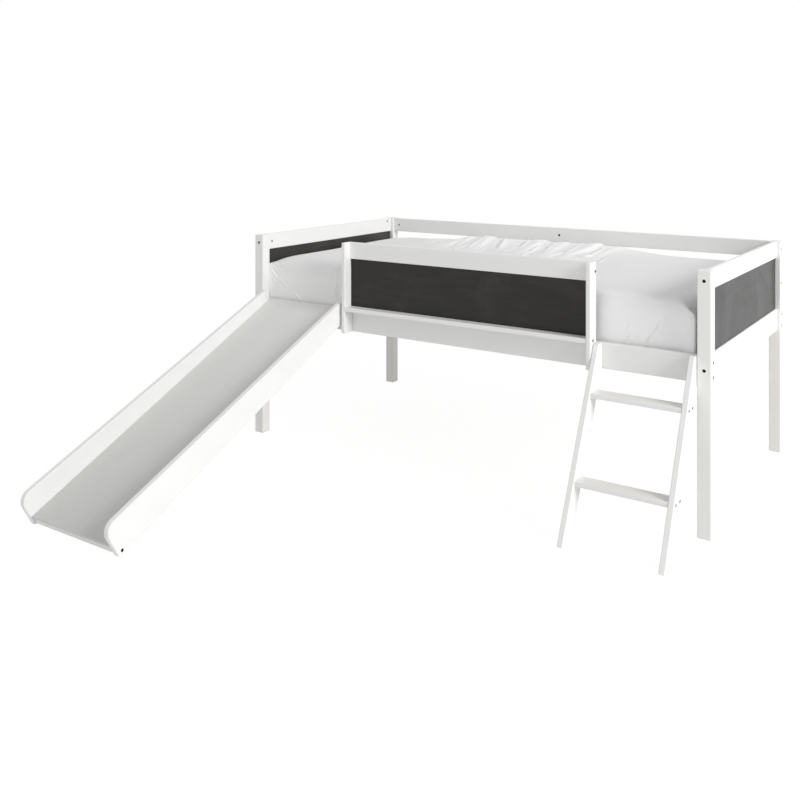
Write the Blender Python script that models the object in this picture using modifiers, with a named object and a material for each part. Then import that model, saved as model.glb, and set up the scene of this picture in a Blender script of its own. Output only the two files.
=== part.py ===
"""Low wooden loft bed with a slide, a leaning ladder and chalkboard panels.

Metres, +Z up, +X along the bed to the right, +Y from the slide's foot to the back.
Places are worked out with Y = 0 on the front faces of the front posts, and the whole
bed is then moved along Y so that its origin is the centre of its footprint, on the floor.
"""
import math

import bmesh
import bpy
from mathutils import Matrix, Vector

# Mattress, which sets the size of the frame
MATTRESS_LENGTH = 1.936
MATTRESS_WIDTH = 0.990
MATTRESS_THICKNESS = 0.222
MATTRESS_END_PLAY = 0.011
MATTRESS_SIDE_PLAY = 0.012
MATTRESS_SHIFT = 0.016
MATTRESS_CROWN = 0.016
MATTRESS_CORNER = 0.026
MATTRESS_DRAW_IN = 0.007
MATTRESS_CUTS = 11
MATTRESS_EDGE_CROWDING = 2.0

# Frame
POST_HEIGHT = 0.900
POST_SIDE = 0.047
BOARD_THICKNESS = 0.018
EDGE_EASE = 0.003
GAP = 0.0003

# Side rails, which carry the slats
SIDE_RAIL_THICKNESS = 0.020
SIDE_RAIL_HEIGHT = 0.093
RAIL_SETBACK = 0.0185

# Rails of the two ends and of the guards
TOP_RAIL_HEIGHT = 0.070
END_BOTTOM_RAIL_HEIGHT = 0.0945
BACK_GUARD_HEIGHT = 0.070
BACK_GUARD_SPACING = 0.0745
BACK_STILE_WIDTH = 0.070

# Chalkboards, held in grooves
CHALK_THICKNESS = 0.006
GROOVE_DEPTH = 0.008

# Openings of the front side, from the left post to the right one
SLIDE_OPENING = 0.480
LADDER_OPENING = 0.364
STILE_PROUD = 0.038
FITTING_GAP = 0.0012
SLIDE_STILE_GAP = 0.0115

# Slats, cleats and webbing
SLAT_COUNT = 13
SLAT_WIDTH = 0.070
SLAT_THICKNESS = 0.018
SLAT_DROP = 0.039
SLAT_END_PLAY = 0.004
CLEAT_WIDTH = 0.022
CLEAT_HEIGHT = 0.030
WEB_WIDTH = 0.025
WEB_THICKNESS = 0.0016
WEB_BITE = 0.0004
WEB_SPREAD = 0.500

# Ladder
LADDER_LEAN = math.radians(27.3)
LADDER_TOP_LENGTH = 0.0316
LADDER_BOARD = 0.022
STILE_DEPTH = 0.073
TREAD_DEPTH = 0.065
TREAD_THICKNESS = 0.017
TREAD_HEIGHT_SHARES = (0.296, 0.730)
TREAD_BOLT_SPACING = 0.040

# Slide
SLIDE_ANGLE = math.radians(25.4)
SLIDE_BOARD = 0.024
SLIDE_BED_THICKNESS = 0.009
SLIDE_BED_INSET = 0.037
SLIDE_BED_GROOVE = 0.006
SLIDE_BED_RECESS = 0.002
SLIDE_SIDE_RISE = 0.038
SLIDE_TOP_LENGTH = 0.031
SLIDE_FOOT_WIDTH = 0.123
SLIDE_FOOT_RADIUS = 0.040
SLIDE_NOSE_LEAN = 0.009
CROSSBAR_COUNT = 4
CROSSBAR_WIDTH = 0.024
CROSSBAR_HEIGHT = 0.026
CROSSBAR_END_MARGIN = 0.005
CROSSBAR_TOP_MARGIN = 0.030

# Bolts with barrel nuts, and the recesses of the other bolts
HEAD_RADIUS = 0.006
HEAD_THICKNESS = 0.003
HEAD_RECESS = 0.0006
SHANK_RADIUS = 0.003
BARREL_RADIUS = 0.005
BARREL_LENGTH = 0.016
BARREL_DISTANCE = 0.032
BARREL_HOLE_CLEARANCE = 0.0005
BOLT_PAST_BARREL = 0.009
SIDE_BOLT_SPACING = 0.050
BACK_BOLT_RAISE = 0.0205
LEDGE_BOLT_INSET = 0.025
SLIDE_FOOT_BOLT_ALONG = 0.018
SLIDE_FOOT_BOLT_ABOVE = 0.0125
SLIDE_TOP_BOLT_ABOVE = 0.012
CUT_OVERRUN = 0.010

# Fineness of the round and eased shapes
ROUND_STEPS = 8
EASE_SEGMENTS = 2
ARC_STEPS = 6
BEVEL_ANGLE = math.radians(35.0)

# Sizes and places worked out from the sizes above
CLEAR_LENGTH = MATTRESS_LENGTH + 2 * MATTRESS_END_PLAY
BED_DEPTH = MATTRESS_WIDTH + 2 * (MATTRESS_SIDE_PLAY + SIDE_RAIL_THICKNESS + RAIL_SETBACK)
SIDE_RAIL_TOP = POST_HEIGHT - TOP_RAIL_HEIGHT - BACK_GUARD_HEIGHT - 2 * BACK_GUARD_SPACING
GUARD_LENGTH = CLEAR_LENGTH - SLIDE_OPENING - LADDER_OPENING - 2 * BOARD_THICKNESS
POST_CENTRE_X = (CLEAR_LENGTH + POST_SIDE) / 2
INNER_X = CLEAR_LENGTH / 2
RAIL_FRONT_Y = RAIL_SETBACK
RAIL_INNER_Y = RAIL_SETBACK + SIDE_RAIL_THICKNESS
RAIL_CENTRE_Y = RAIL_SETBACK + SIDE_RAIL_THICKNESS / 2
RAIL_BOTTOM = SIDE_RAIL_TOP - SIDE_RAIL_HEIGHT
RAIL_MID = SIDE_RAIL_TOP - SIDE_RAIL_HEIGHT / 2
TOP_RAIL_BOTTOM = POST_HEIGHT - TOP_RAIL_HEIGHT
TOP_RAIL_MID = POST_HEIGHT - TOP_RAIL_HEIGHT / 2
END_BOTTOM_RAIL_TOP = RAIL_BOTTOM + END_BOTTOM_RAIL_HEIGHT
BACK_GUARD_CENTRE = (SIDE_RAIL_TOP + TOP_RAIL_BOTTOM) / 2
BACK_GUARD_OUTER_Y = BED_DEPTH - RAIL_SETBACK
BACK_GUARD_INNER_Y = BACK_GUARD_OUTER_Y - BOARD_THICKNESS
STILE_BACK_Y = RAIL_FRONT_Y - GAP
STILE_FRONT_Y = -STILE_PROUD
LEFT_STILE_X = -INNER_X + SLIDE_OPENING + BOARD_THICKNESS / 2
RIGHT_STILE_X = LEFT_STILE_X + BOARD_THICKNESS + GUARD_LENGTH
GUARD_RAIL_CENTRE_Y = STILE_BACK_Y - BOARD_THICKNESS / 2
LEDGE_BOTTOM = SIDE_RAIL_TOP + GAP
LEDGE_TOP = LEDGE_BOTTOM + BOARD_THICKNESS
SLAT_TOP = SIDE_RAIL_TOP - SLAT_DROP
WEB_BOTTOM = SLAT_TOP - WEB_BITE
MATTRESS_BOTTOM = WEB_BOTTOM + WEB_THICKNESS + GAP
LADDER_LEFT_X = RIGHT_STILE_X + (BOARD_THICKNESS + LADDER_BOARD) / 2 + FITTING_GAP
LADDER_RIGHT_X = INNER_X - FITTING_GAP - LADDER_BOARD / 2
SLIDE_LEFT_X = -INNER_X + FITTING_GAP + SLIDE_BOARD / 2
SLIDE_RIGHT_X = LEFT_STILE_X - (BOARD_THICKNESS + SLIDE_BOARD) / 2 - SLIDE_STILE_GAP

# The slide's lower corner on the floor, where its bed would meet the rail's top
SLIDE_TOUCH_Y = RAIL_FRONT_Y - GAP
SLIDE_FOOT_Y = SLIDE_TOUCH_Y - (
    SIDE_RAIL_TOP - SLIDE_BED_INSET / math.cos(SLIDE_ANGLE)) / math.tan(SLIDE_ANGLE)
LADDER_SLOPE = math.tan(LADDER_LEAN)
LADDER_FOOT_Y = RAIL_FRONT_Y - LADDER_TOP_LENGTH - SIDE_RAIL_TOP * LADDER_SLOPE
TREAD_CENTRES = [share * SIDE_RAIL_TOP for share in TREAD_HEIGHT_SHARES]

X_AXIS, Y_AXIS, Z_AXIS = Vector((1, 0, 0)), Vector((0, 1, 0)), Vector((0, 0, 1))


def clear_scene():
    for obj in list(bpy.data.objects):
        bpy.data.objects.remove(obj, do_unlink=True)


def new_collection(name):
    collection = bpy.data.collections.new(name)
    bpy.context.scene.collection.children.link(collection)
    return collection


def make_material(name, color, roughness, metallic=0.0):
    material = bpy.data.materials.new(name)
    material.use_nodes = True
    shader = material.node_tree.nodes["Principled BSDF"]
    shader.inputs["Base Color"].default_value = (*color, 1.0)
    shader.inputs["Roughness"].default_value = roughness
    shader.inputs["Metallic"].default_value = metallic
    material.diffuse_color = (*color, 1.0)
    return material


def slide_point(along, above):
    """Y and Z of a point up the slide from its foot corner, and square above its lower edge."""
    y = SLIDE_FOOT_Y + along * math.cos(SLIDE_ANGLE) - above * math.sin(SLIDE_ANGLE)
    z = along * math.sin(SLIDE_ANGLE) + above * math.cos(SLIDE_ANGLE)
    return Vector((y, z))


def slide_along_at(y, above):
    """How far up the slide the line at that height reaches a given Y."""
    return (y - SLIDE_FOOT_Y + above * math.sin(SLIDE_ANGLE)) / math.cos(SLIDE_ANGLE)


def fillet(corner, start, end, radius, steps):
    """Points of an arc that rounds a corner between the lines to start and to end."""
    to_start = (start - corner).normalized()
    to_end = (end - corner).normalized()
    half = to_start.angle(to_end) / 2
    centre = corner + (to_start + to_end).normalized() * radius / math.sin(half)
    first = corner + to_start * radius / math.tan(half) - centre
    last = corner + to_end * radius / math.tan(half) - centre
    turn = first.angle_signed(last)
    return [centre + Matrix.Rotation(-turn * step / steps, 2) @ first for step in range(steps + 1)]


def slide_side_outline():
    """Outline of a slide side in Y and Z: foot, rounded nose, top edge and end at the rail."""
    foot = slide_point(0, 0)
    nose = slide_point(-SLIDE_NOSE_LEAN, SLIDE_FOOT_WIDTH)
    top_z = SIDE_RAIL_TOP + SLIDE_SIDE_RISE
    top_front = Vector((SLIDE_TOUCH_Y - SLIDE_TOP_LENGTH, top_z))
    top_back = Vector((SLIDE_TOUCH_Y, top_z))
    bottom_back = slide_point(slide_along_at(SLIDE_TOUCH_Y, 0), 0)
    rounded = fillet(nose, foot, top_front, SLIDE_FOOT_RADIUS, ARC_STEPS)
    return [foot, *rounded, top_front, top_back, bottom_back]


FRONT_REACH = min(point.x for point in slide_side_outline())
Y_SHIFT = -(FRONT_REACH + BED_DEPTH) / 2


def place(x, y, z):
    """A point given from the front posts' faces, in the bed's own frame."""
    return Vector((x, y + Y_SHIFT, z))


def add_mesh_object(name, mesh, location, material, collection):
    obj = bpy.data.objects.new(name, mesh)
    obj.location = location
    if material:
        mesh.materials.append(material)
    collection.objects.link(obj)
    return obj


def mesh_from(bm, name):
    bmesh.ops.recalc_face_normals(bm, faces=bm.faces)
    mesh = bpy.data.meshes.new(name)
    bm.to_mesh(mesh)
    bm.free()
    return mesh


def eased_box(name, size, grain=None, segments=EASE_SEGMENTS):
    """A box about its centre, with all edges eased, or only those along its grain."""
    bm = bmesh.new()
    bmesh.ops.create_cube(bm, size=1.0)
    bmesh.ops.scale(bm, vec=size, verts=bm.verts)
    edges = [edge for edge in bm.edges
             if grain is None or abs((edge.verts[0].co - edge.verts[1].co).normalized().dot(grain)) > 0.5]
    bmesh.ops.bevel(bm, geom=edges, offset=EDGE_EASE, segments=segments, profile=0.5, affect="EDGES")
    return mesh_from(bm, name)


def board(name, low, high, material, grain=None, segments=EASE_SEGMENTS):
    """A board between two corners that are given from the front posts' faces."""
    low, high = place(*low), place(*high)
    mesh = eased_box(name, high - low, grain, segments)
    return add_mesh_object(name, mesh, (low + high) / 2, material, PARTS)


def outline_board(name, outline, x_centre, width, material, eased=True):
    """A board sawn to an outline in Y and Z, as wide along X as asked."""
    curve = bpy.data.curves.new(name + "_outline", "CURVE")
    curve.dimensions = "2D"
    curve.fill_mode = "BOTH"
    curve.extrude = width / 2
    spline = curve.splines.new("POLY")
    spline.points.add(len(outline) - 1)
    for point, (y, z) in zip(spline.points, outline):
        point.co = (y + Y_SHIFT, z, 0, 1)
    spline.use_cyclic_u = True
    flat = bpy.data.objects.new(name + "_flat", curve)
    PARTS.objects.link(flat)
    flat.matrix_world = Matrix.Translation((x_centre, 0, 0)) @ Matrix(
        ((0, 0, 1, 0), (1, 0, 0, 0), (0, 1, 0, 0), (0, 0, 0, 1)))
    depsgraph = bpy.context.evaluated_depsgraph_get()
    mesh = bpy.data.meshes.new_from_object(flat.evaluated_get(depsgraph))
    bm = bmesh.new()
    bm.from_mesh(mesh)
    bmesh.ops.remove_doubles(bm, verts=bm.verts, dist=GAP / 10)
    bmesh.ops.dissolve_limit(bm, angle_limit=math.radians(1), verts=bm.verts, edges=bm.edges)
    obj = add_mesh_object(name, mesh_from(bm, name), (0, 0, 0), material, PARTS)
    obj.matrix_world = flat.matrix_world
    bpy.data.objects.remove(flat)
    if eased:
        bevel = obj.modifiers.new("eased edges", "BEVEL")
        bevel.width = EDGE_EASE
        bevel.segments = 1
        bevel.limit_method = "ANGLE"
        bevel.angle_limit = BEVEL_ANGLE
    return obj


def turned_mesh(name, profile):
    """A turned shape about Z, from a profile of radius and height, top to bottom."""
    mesh = bpy.data.meshes.new(name)
    mesh.from_pydata([(radius, 0, height) for radius, height in profile],
                     [(i, i + 1) for i in range(len(profile) - 1)], [])
    blank = bpy.data.objects.new(name, mesh)
    PARTS.objects.link(blank)
    screw = blank.modifiers.new("turned", "SCREW")
    screw.steps = ROUND_STEPS
    screw.render_steps = ROUND_STEPS
    screw.use_merge_vertices = True
    screw.merge_threshold = GAP / 10
    depsgraph = bpy.context.evaluated_depsgraph_get()
    turned = bpy.data.meshes.new_from_object(blank.evaluated_get(depsgraph))
    bpy.data.objects.remove(blank)
    return turned


def bolt_profile(length, clearance=0.0):
    """A flat-headed bolt, its head's face at Z = 0 and its shank downwards; grown for its hole."""
    top = CUT_OVERRUN if clearance else 0.0
    head = HEAD_RADIUS + clearance
    shank = SHANK_RADIUS + clearance
    return [(0, top), (head, top), (head, -HEAD_THICKNESS - clearance),
            (shank, -HEAD_THICKNESS - clearance), (shank, -length - clearance), (0, -length - clearance)]


def rod_profile(radius, length):
    return [(0, length / 2), (radius, length / 2), (radius, -length / 2), (0, -length / 2)]


def group_mesh(name, members):
    """One mesh of several separate bodies, each a mesh with the matrix that places it."""
    bm = bmesh.new()
    for mesh, matrix in members:
        first = len(bm.verts)
        bm.from_mesh(mesh)
        bm.verts.ensure_lookup_table()
        bmesh.ops.transform(bm, matrix=matrix, verts=bm.verts[first:])
    return mesh_from(bm, name)


def joined(name, first, second):
    """One closed mesh of two objects, which it uses up."""
    union = first.modifiers.new("joined", "BOOLEAN")
    union.operation = "UNION"
    union.solver = "EXACT"
    union.object = second
    bpy.context.view_layer.update()
    depsgraph = bpy.context.evaluated_depsgraph_get()
    mesh = bpy.data.meshes.new_from_object(first.evaluated_get(depsgraph))
    mesh.name = name
    for obj in (first, second):
        bpy.data.objects.remove(obj)
    return mesh


def bolt_frame(origin, direction, across):
    """The matrix that turns -Z to a bolt's direction and X to the way across it."""
    up = -direction
    return Matrix.Translation(origin) @ Matrix((across, up.cross(across), up)).transposed().to_4x4()


def connector_mesh(name, reach):
    """A bolt with its barrel nut screwed on: the head's face at Z = 0, the nut along X."""
    bolt = bpy.data.objects.new(name, turned_mesh(name, bolt_profile(reach + BOLT_PAST_BARREL)))
    PARTS.objects.link(bolt)
    nut = cutter(name + "_nut", turned_mesh(name, rod_profile(BARREL_RADIUS, BARREL_LENGTH)), (0, 0, -reach))
    nut.rotation_euler.y = math.pi / 2
    return joined(name, bolt, nut)


def add_connectors(name, places, through):
    """Bolts with barrel nuts and their holes' cutters; a place is a point, a direction, the way the nut faces."""
    reach = through + GAP + BARREL_DISTANCE - HEAD_RECESS
    mesh = connector_mesh(name, reach)
    bolt_hole = turned_mesh(name, bolt_profile(reach + BOLT_PAST_BARREL, GAP))
    depth = BARREL_LENGTH / 2 + GAP
    nut_hole = turned_mesh(name, rod_profile(BARREL_RADIUS + GAP, depth + BARREL_LENGTH))
    nut_place = Matrix.Translation(((BARREL_LENGTH - depth) / 2, 0, -reach)) @ Matrix.Rotation(math.pi / 2, 4, "Y")
    bolt_holes, nut_holes = [], []
    for number, (point, direction, across) in enumerate(places, 1):
        matrix = bolt_frame(point + direction * HEAD_RECESS, direction, across)
        obj = add_mesh_object(f"{name}_{number}", mesh, (0, 0, 0), None, PARTS)
        obj.matrix_world = matrix
        bolt_holes.append((bolt_hole, matrix))
        nut_holes.append((nut_hole, matrix @ nut_place))
    mesh.materials.append(BLACK)
    return (cutter(name + "_holes", group_mesh(name + "_holes", bolt_holes)),
            cutter(name + "_nut_holes", group_mesh(name + "_nut_holes", nut_holes)))


def recess_cutter(name, places):
    """The recesses of bolt heads; a place is a point on a face and the way into it."""
    depth = HEAD_THICKNESS + HEAD_RECESS
    drill = turned_mesh(name, rod_profile(HEAD_RADIUS + GAP, 2 * depth))
    return cutter(name, group_mesh(name, [(drill, bolt_frame(point, direction, direction.orthogonal().normalized()))
                                          for point, direction in places]))


def cutter(name, mesh, location=(0, 0, 0)):
    obj = bpy.data.objects.new(name, mesh)
    obj.location = location
    CUTTERS.objects.link(obj)
    obj.hide_render = True
    obj.display_type = "WIRE"
    return obj


def cut(obj, *cutters):
    for tool in cutters:
        boolean = obj.modifiers.new(tool.name, "BOOLEAN")
        boolean.operation = "DIFFERENCE"
        boolean.solver = "EXACT"
        boolean.object = tool


def groove_cutter(name, low, high):
    """A straight groove's cutter between two corners, given from the front posts' faces."""
    low, high = place(*low), place(*high)
    bm = bmesh.new()
    bmesh.ops.create_cube(bm, size=1.0)
    bmesh.ops.scale(bm, vec=high - low, verts=bm.verts)
    return cutter(name, mesh_from(bm, name), (low + high) / 2)


def make_posts():
    posts = {}
    for side, x in (("left", -POST_CENTRE_X), ("right", POST_CENTRE_X)):
        for row, y in (("front", 0.0), ("back", BED_DEPTH - POST_SIDE)):
            low = (x - POST_SIDE / 2, y, 0)
            high = (x + POST_SIDE / 2, y + POST_SIDE, POST_HEIGHT)
            posts[row, side] = board(f"post_{row}_{side}", low, high, WHITE)
    return posts


def make_side_rails():
    rails = {}
    reach = INNER_X - GAP
    for row, y in (("front", RAIL_FRONT_Y), ("back", BACK_GUARD_OUTER_Y - SIDE_RAIL_THICKNESS)):
        rails[row] = board(f"side_rail_{row}", (-reach, y, RAIL_BOTTOM),
                           (reach, y + SIDE_RAIL_THICKNESS, SIDE_RAIL_TOP), WHITE, X_AXIS)
    return rails


def make_cleats():
    reach = INNER_X - SLAT_END_PLAY
    cleat_top = SLAT_TOP - SLAT_THICKNESS - GAP
    back_face = BED_DEPTH - RAIL_INNER_Y
    for row, y in (("front", RAIL_INNER_Y + GAP), ("back", back_face - GAP - CLEAT_WIDTH)):
        board(f"slat_cleat_{row}", (-reach, y, cleat_top - CLEAT_HEIGHT),
              (reach, y + CLEAT_WIDTH, cleat_top), PINE, X_AXIS, 1)


def make_slat_roll():
    """The slats, stapled to two straps that run over them, so one unit that rolls up."""
    reach = INNER_X - SLAT_END_PLAY
    length = BED_DEPTH - 2 * (RAIL_INNER_Y + SLAT_END_PLAY)
    slat = eased_box("slat", Vector((SLAT_WIDTH, length, SLAT_THICKNESS)), Y_AXIS, 1)
    pitch = (2 * reach - SLAT_WIDTH) / (SLAT_COUNT - 1)
    spots = [Matrix.Translation((index * pitch - reach + SLAT_WIDTH / 2, 0, 0)) for index in range(SLAT_COUNT)]
    roll = add_mesh_object("slat_roll", group_mesh("slat_roll", [(slat, spot) for spot in spots]),
                           place(0, BED_DEPTH / 2, SLAT_TOP - SLAT_THICKNESS / 2), PINE, PARTS)
    for row, side in (("front", -1), ("back", 1)):
        mesh = plain_box(f"webbing_{row}", Vector((2 * reach - SLAT_WIDTH / 2, WEB_WIDTH, WEB_THICKNESS)))
        centre = place(0, BED_DEPTH / 2 + side * WEB_SPREAD / 2, WEB_BOTTOM + WEB_THICKNESS / 2)
        union = roll.modifiers.new("webbing", "BOOLEAN")
        union.operation = "UNION"
        union.solver = "EXACT"
        union.object = cutter(f"webbing_{row}", mesh, centre)


def plain_box(name, size):
    bm = bmesh.new()
    bmesh.ops.create_cube(bm, size=1.0)
    bmesh.ops.scale(bm, vec=size, verts=bm.verts)
    return mesh_from(bm, name)


def make_end(side):
    """The two rails and the chalkboard of one end, centred in the posts' width."""
    x = POST_CENTRE_X if side == "right" else -POST_CENTRE_X
    half = BOARD_THICKNESS / 2
    front, back = POST_SIDE + GAP, BED_DEPTH - POST_SIDE - GAP
    top = board(f"end_{side}_top_rail", (x - half, front, TOP_RAIL_BOTTOM),
                (x + half, back, POST_HEIGHT), WHITE, Y_AXIS)
    bottom = board(f"end_{side}_bottom_rail", (x - half, front, RAIL_BOTTOM),
                   (x + half, back, END_BOTTOM_RAIL_TOP), WHITE, Y_AXIS)
    chalkboard(f"end_{side}_chalkboard", (x, front, END_BOTTOM_RAIL_TOP), (x, back, TOP_RAIL_BOTTOM), X_AXIS)
    width = CHALK_THICKNESS / 2 + GAP
    cut(top, groove_cutter(f"end_{side}_top_groove", (x - width, front - CUT_OVERRUN, TOP_RAIL_BOTTOM - CUT_OVERRUN),
                           (x + width, back + CUT_OVERRUN, TOP_RAIL_BOTTOM + GROOVE_DEPTH)))
    cut(bottom, groove_cutter(f"end_{side}_bottom_groove", (x - width, front - CUT_OVERRUN,
                                                            END_BOTTOM_RAIL_TOP - GROOVE_DEPTH),
                              (x + width, back + CUT_OVERRUN, END_BOTTOM_RAIL_TOP + CUT_OVERRUN)))
    return top, bottom


def chalkboard(name, low, high, normal):
    """A thin board between two rails, which enters their grooves above and below."""
    half = normal * CHALK_THICKNESS / 2
    tongue = Z_AXIS * (GROOVE_DEPTH - GAP)
    low, high = place(*low) - half - tongue, place(*high) + half + tongue
    mesh = plain_box(name, high - low)
    return add_mesh_object(name, mesh, (low + high) / 2, CHALK, PARTS)


def make_back_guard():
    reach = INNER_X - GAP
    half = BACK_GUARD_HEIGHT / 2
    guards = []
    for name, z in (("upper", TOP_RAIL_MID), ("lower", BACK_GUARD_CENTRE)):
        guards.append(board(f"back_guard_rail_{name}", (-reach, BACK_GUARD_INNER_Y, z - half),
                            (reach, BACK_GUARD_OUTER_Y, z + half), WHITE, X_AXIS))
    width = BACK_STILE_WIDTH / 2
    outer = BACK_GUARD_OUTER_Y + GAP
    stile = board("back_guard_stile", (-width, outer, RAIL_BOTTOM),
                  (width, outer + BOARD_THICKNESS, POST_HEIGHT), WHITE)
    return guards, stile


def make_front_guard():
    stiles = []
    half = BOARD_THICKNESS / 2
    for side, x in (("left", LEFT_STILE_X), ("right", RIGHT_STILE_X)):
        stiles.append(board(f"guard_stile_{side}", (x - half, STILE_FRONT_Y, RAIL_BOTTOM),
                            (x + half, STILE_BACK_Y, POST_HEIGHT), WHITE))
    left, right = LEFT_STILE_X + half + GAP, RIGHT_STILE_X - half - GAP
    rail = board("guard_top_rail", (left, STILE_BACK_Y - BOARD_THICKNESS, TOP_RAIL_BOTTOM),
                 (right, STILE_BACK_Y, POST_HEIGHT), WHITE, X_AXIS)
    ledge = board("guard_ledge", (left, STILE_FRONT_Y, LEDGE_BOTTOM),
                  (right, STILE_BACK_Y, LEDGE_TOP), WHITE, X_AXIS)
    chalkboard("guard_chalkboard", (left, GUARD_RAIL_CENTRE_Y, LEDGE_TOP),
               (right, GUARD_RAIL_CENTRE_Y, TOP_RAIL_BOTTOM), Y_AXIS)
    low_y, high_y = (GUARD_RAIL_CENTRE_Y + side * (CHALK_THICKNESS / 2 + GAP) for side in (-1, 1))
    ends = left - CUT_OVERRUN, right + CUT_OVERRUN
    cut(rail, groove_cutter("guard_top_groove", (ends[0], low_y, TOP_RAIL_BOTTOM - CUT_OVERRUN),
                            (ends[1], high_y, TOP_RAIL_BOTTOM + GROOVE_DEPTH)))
    cut(ledge, groove_cutter("guard_ledge_groove", (ends[0], low_y, LEDGE_TOP - GROOVE_DEPTH),
                             (ends[1], high_y, LEDGE_TOP + CUT_OVERRUN)))
    return stiles, rail, ledge


def ladder_front_y(z):
    """Y of the ladder's front edge at a height."""
    return LADDER_FOOT_Y + z * LADDER_SLOPE


def make_ladder():
    top = SIDE_RAIL_TOP
    meet_z = (STILE_BACK_Y - STILE_DEPTH - LADDER_FOOT_Y) / LADDER_SLOPE
    outline = [(LADDER_FOOT_Y, 0), (LADDER_FOOT_Y + STILE_DEPTH, 0), (STILE_BACK_Y, meet_z),
               (STILE_BACK_Y, top), (ladder_front_y(top), top)]
    stiles = [outline_board(f"ladder_stile_{side}", outline, x, LADDER_BOARD, WHITE)
              for side, x in (("left", LADDER_LEFT_X), ("right", LADDER_RIGHT_X))]
    treads = []
    left = LADDER_LEFT_X + LADDER_BOARD / 2 + GAP
    right = LADDER_RIGHT_X - LADDER_BOARD / 2 - GAP
    for name, z in zip(("lower", "upper"), TREAD_CENTRES):
        y = tread_centre_y(z)
        treads.append(board(f"ladder_tread_{name}", (left, y - TREAD_DEPTH / 2, z - TREAD_THICKNESS / 2),
                            (right, y + TREAD_DEPTH / 2, z + TREAD_THICKNESS / 2), WHITE, X_AXIS))
    return stiles, treads


def tread_centre_y(z):
    return ladder_front_y(z) + STILE_DEPTH / 2


def slide_bed_outline(clearance=0.0, overrun=0.0):
    """Outline of the sliding panel in Y and Z; grown by a clearance for its groove."""
    top = SLIDE_BED_INSET + clearance
    bottom = SLIDE_BED_INSET - SLIDE_BED_THICKNESS - clearance
    foot = SLIDE_BED_RECESS - overrun
    end_y = SLIDE_TOUCH_Y + overrun
    return [slide_point(foot, bottom), slide_point(foot, top),
            slide_point(slide_along_at(end_y, top), top),
            slide_point(slide_along_at(end_y, bottom), bottom)]


def make_slide():
    half = SLIDE_BOARD / 2
    left, right = SLIDE_LEFT_X + half, SLIDE_RIGHT_X - half
    centre = (left + right) / 2
    inner = right - left
    sides = [outline_board(f"slide_side_{side}", slide_side_outline(), x, SLIDE_BOARD, WHITE)
             for side, x in (("left", SLIDE_LEFT_X), ("right", SLIDE_RIGHT_X))]
    outline_board("slide_bed", slide_bed_outline(), centre, inner + 2 * (SLIDE_BED_GROOVE - GAP), GREY, False)
    groove = outline_board("slide_bed_groove", slide_bed_outline(GAP, CUT_OVERRUN), centre,
                           inner + 2 * SLIDE_BED_GROOVE, GREY, False)
    move_to_cutters(groove)
    bars = [make_crossbar(index, left + GAP, right - GAP) for index in range(CROSSBAR_COUNT)]
    for side in sides:
        cut(side, groove)
    return sides, bars


def move_to_cutters(obj):
    PARTS.objects.unlink(obj)
    CUTTERS.objects.link(obj)
    obj.hide_render = True
    obj.display_type = "WIRE"


def make_crossbar(index, left, right):
    """A bar square under the sliding panel; the first is at the foot and the last at the rail."""
    above = SLIDE_BED_INSET - SLIDE_BED_THICKNESS - GAP - CROSSBAR_HEIGHT / 2
    first = CROSSBAR_END_MARGIN + CROSSBAR_WIDTH / 2
    last = slide_along_at(SLIDE_TOUCH_Y, 0) - CROSSBAR_TOP_MARGIN
    along = first + (last - first) * index / (CROSSBAR_COUNT - 1)
    y, z = slide_point(along, above)
    mesh = eased_box("slide_crossbar", Vector((right - left, CROSSBAR_WIDTH, CROSSBAR_HEIGHT)), X_AXIS, 1)
    obj = add_mesh_object(f"slide_crossbar_{index + 1}", mesh, place((left + right) / 2, y, z), WHITE, PARTS)
    obj.rotation_euler.x = SLIDE_ANGLE
    return obj


def soften(value, half):
    """Moves a cage place towards the end of its half length, so that rows crowd at the edges."""
    share = abs(value) / half
    return math.copysign(half * (1 - (1 - share) ** MATTRESS_EDGE_CROWDING), value)


def mattress_vertex(unit):
    """A point of the mattress from a point of the unit cube: rounded, crowned, drawn in."""
    half = Vector((MATTRESS_LENGTH, MATTRESS_WIDTH, MATTRESS_THICKNESS)) / 2
    point = Vector([soften(value, 0.5) * 2 * size for value, size in zip(unit, half)])
    inner = Vector([max(-limit, min(limit, value)) for value, limit in
                    zip(point, (size - MATTRESS_CORNER for size in half))])
    offset = point - inner
    if offset.length > 0:
        point = inner + offset.normalized() * MATTRESS_CORNER
    across = 1 - (point.y / half.y) ** 2
    length = 1 - (point.x / half.x) ** 2
    waist = 1 - (point.z / half.z) ** 2
    point.y -= math.copysign(MATTRESS_DRAW_IN, point.y) * waist * length * (1 - across)
    point.x -= math.copysign(MATTRESS_DRAW_IN, point.x) * waist * across * (1 - length)
    if point.z > 0:
        point.z += MATTRESS_CROWN * (1 - (1 - length) ** 2) * (1 - (1 - across) ** 2)
    return point


def make_mattress():
    """The mattress, pushed against the left end."""
    bm = bmesh.new()
    bmesh.ops.create_cube(bm, size=1.0)
    bmesh.ops.subdivide_edges(bm, edges=bm.edges, cuts=MATTRESS_CUTS, use_grid_fill=True)
    for vertex in bm.verts:
        vertex.co = mattress_vertex(vertex.co)
    mesh = mesh_from(bm, "mattress")
    mesh.shade_smooth()
    centre = place(-MATTRESS_SHIFT, BED_DEPTH / 2, MATTRESS_BOTTOM + MATTRESS_THICKNESS / 2)
    return add_mesh_object("mattress", mesh, centre, SHEET, PARTS)


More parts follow.
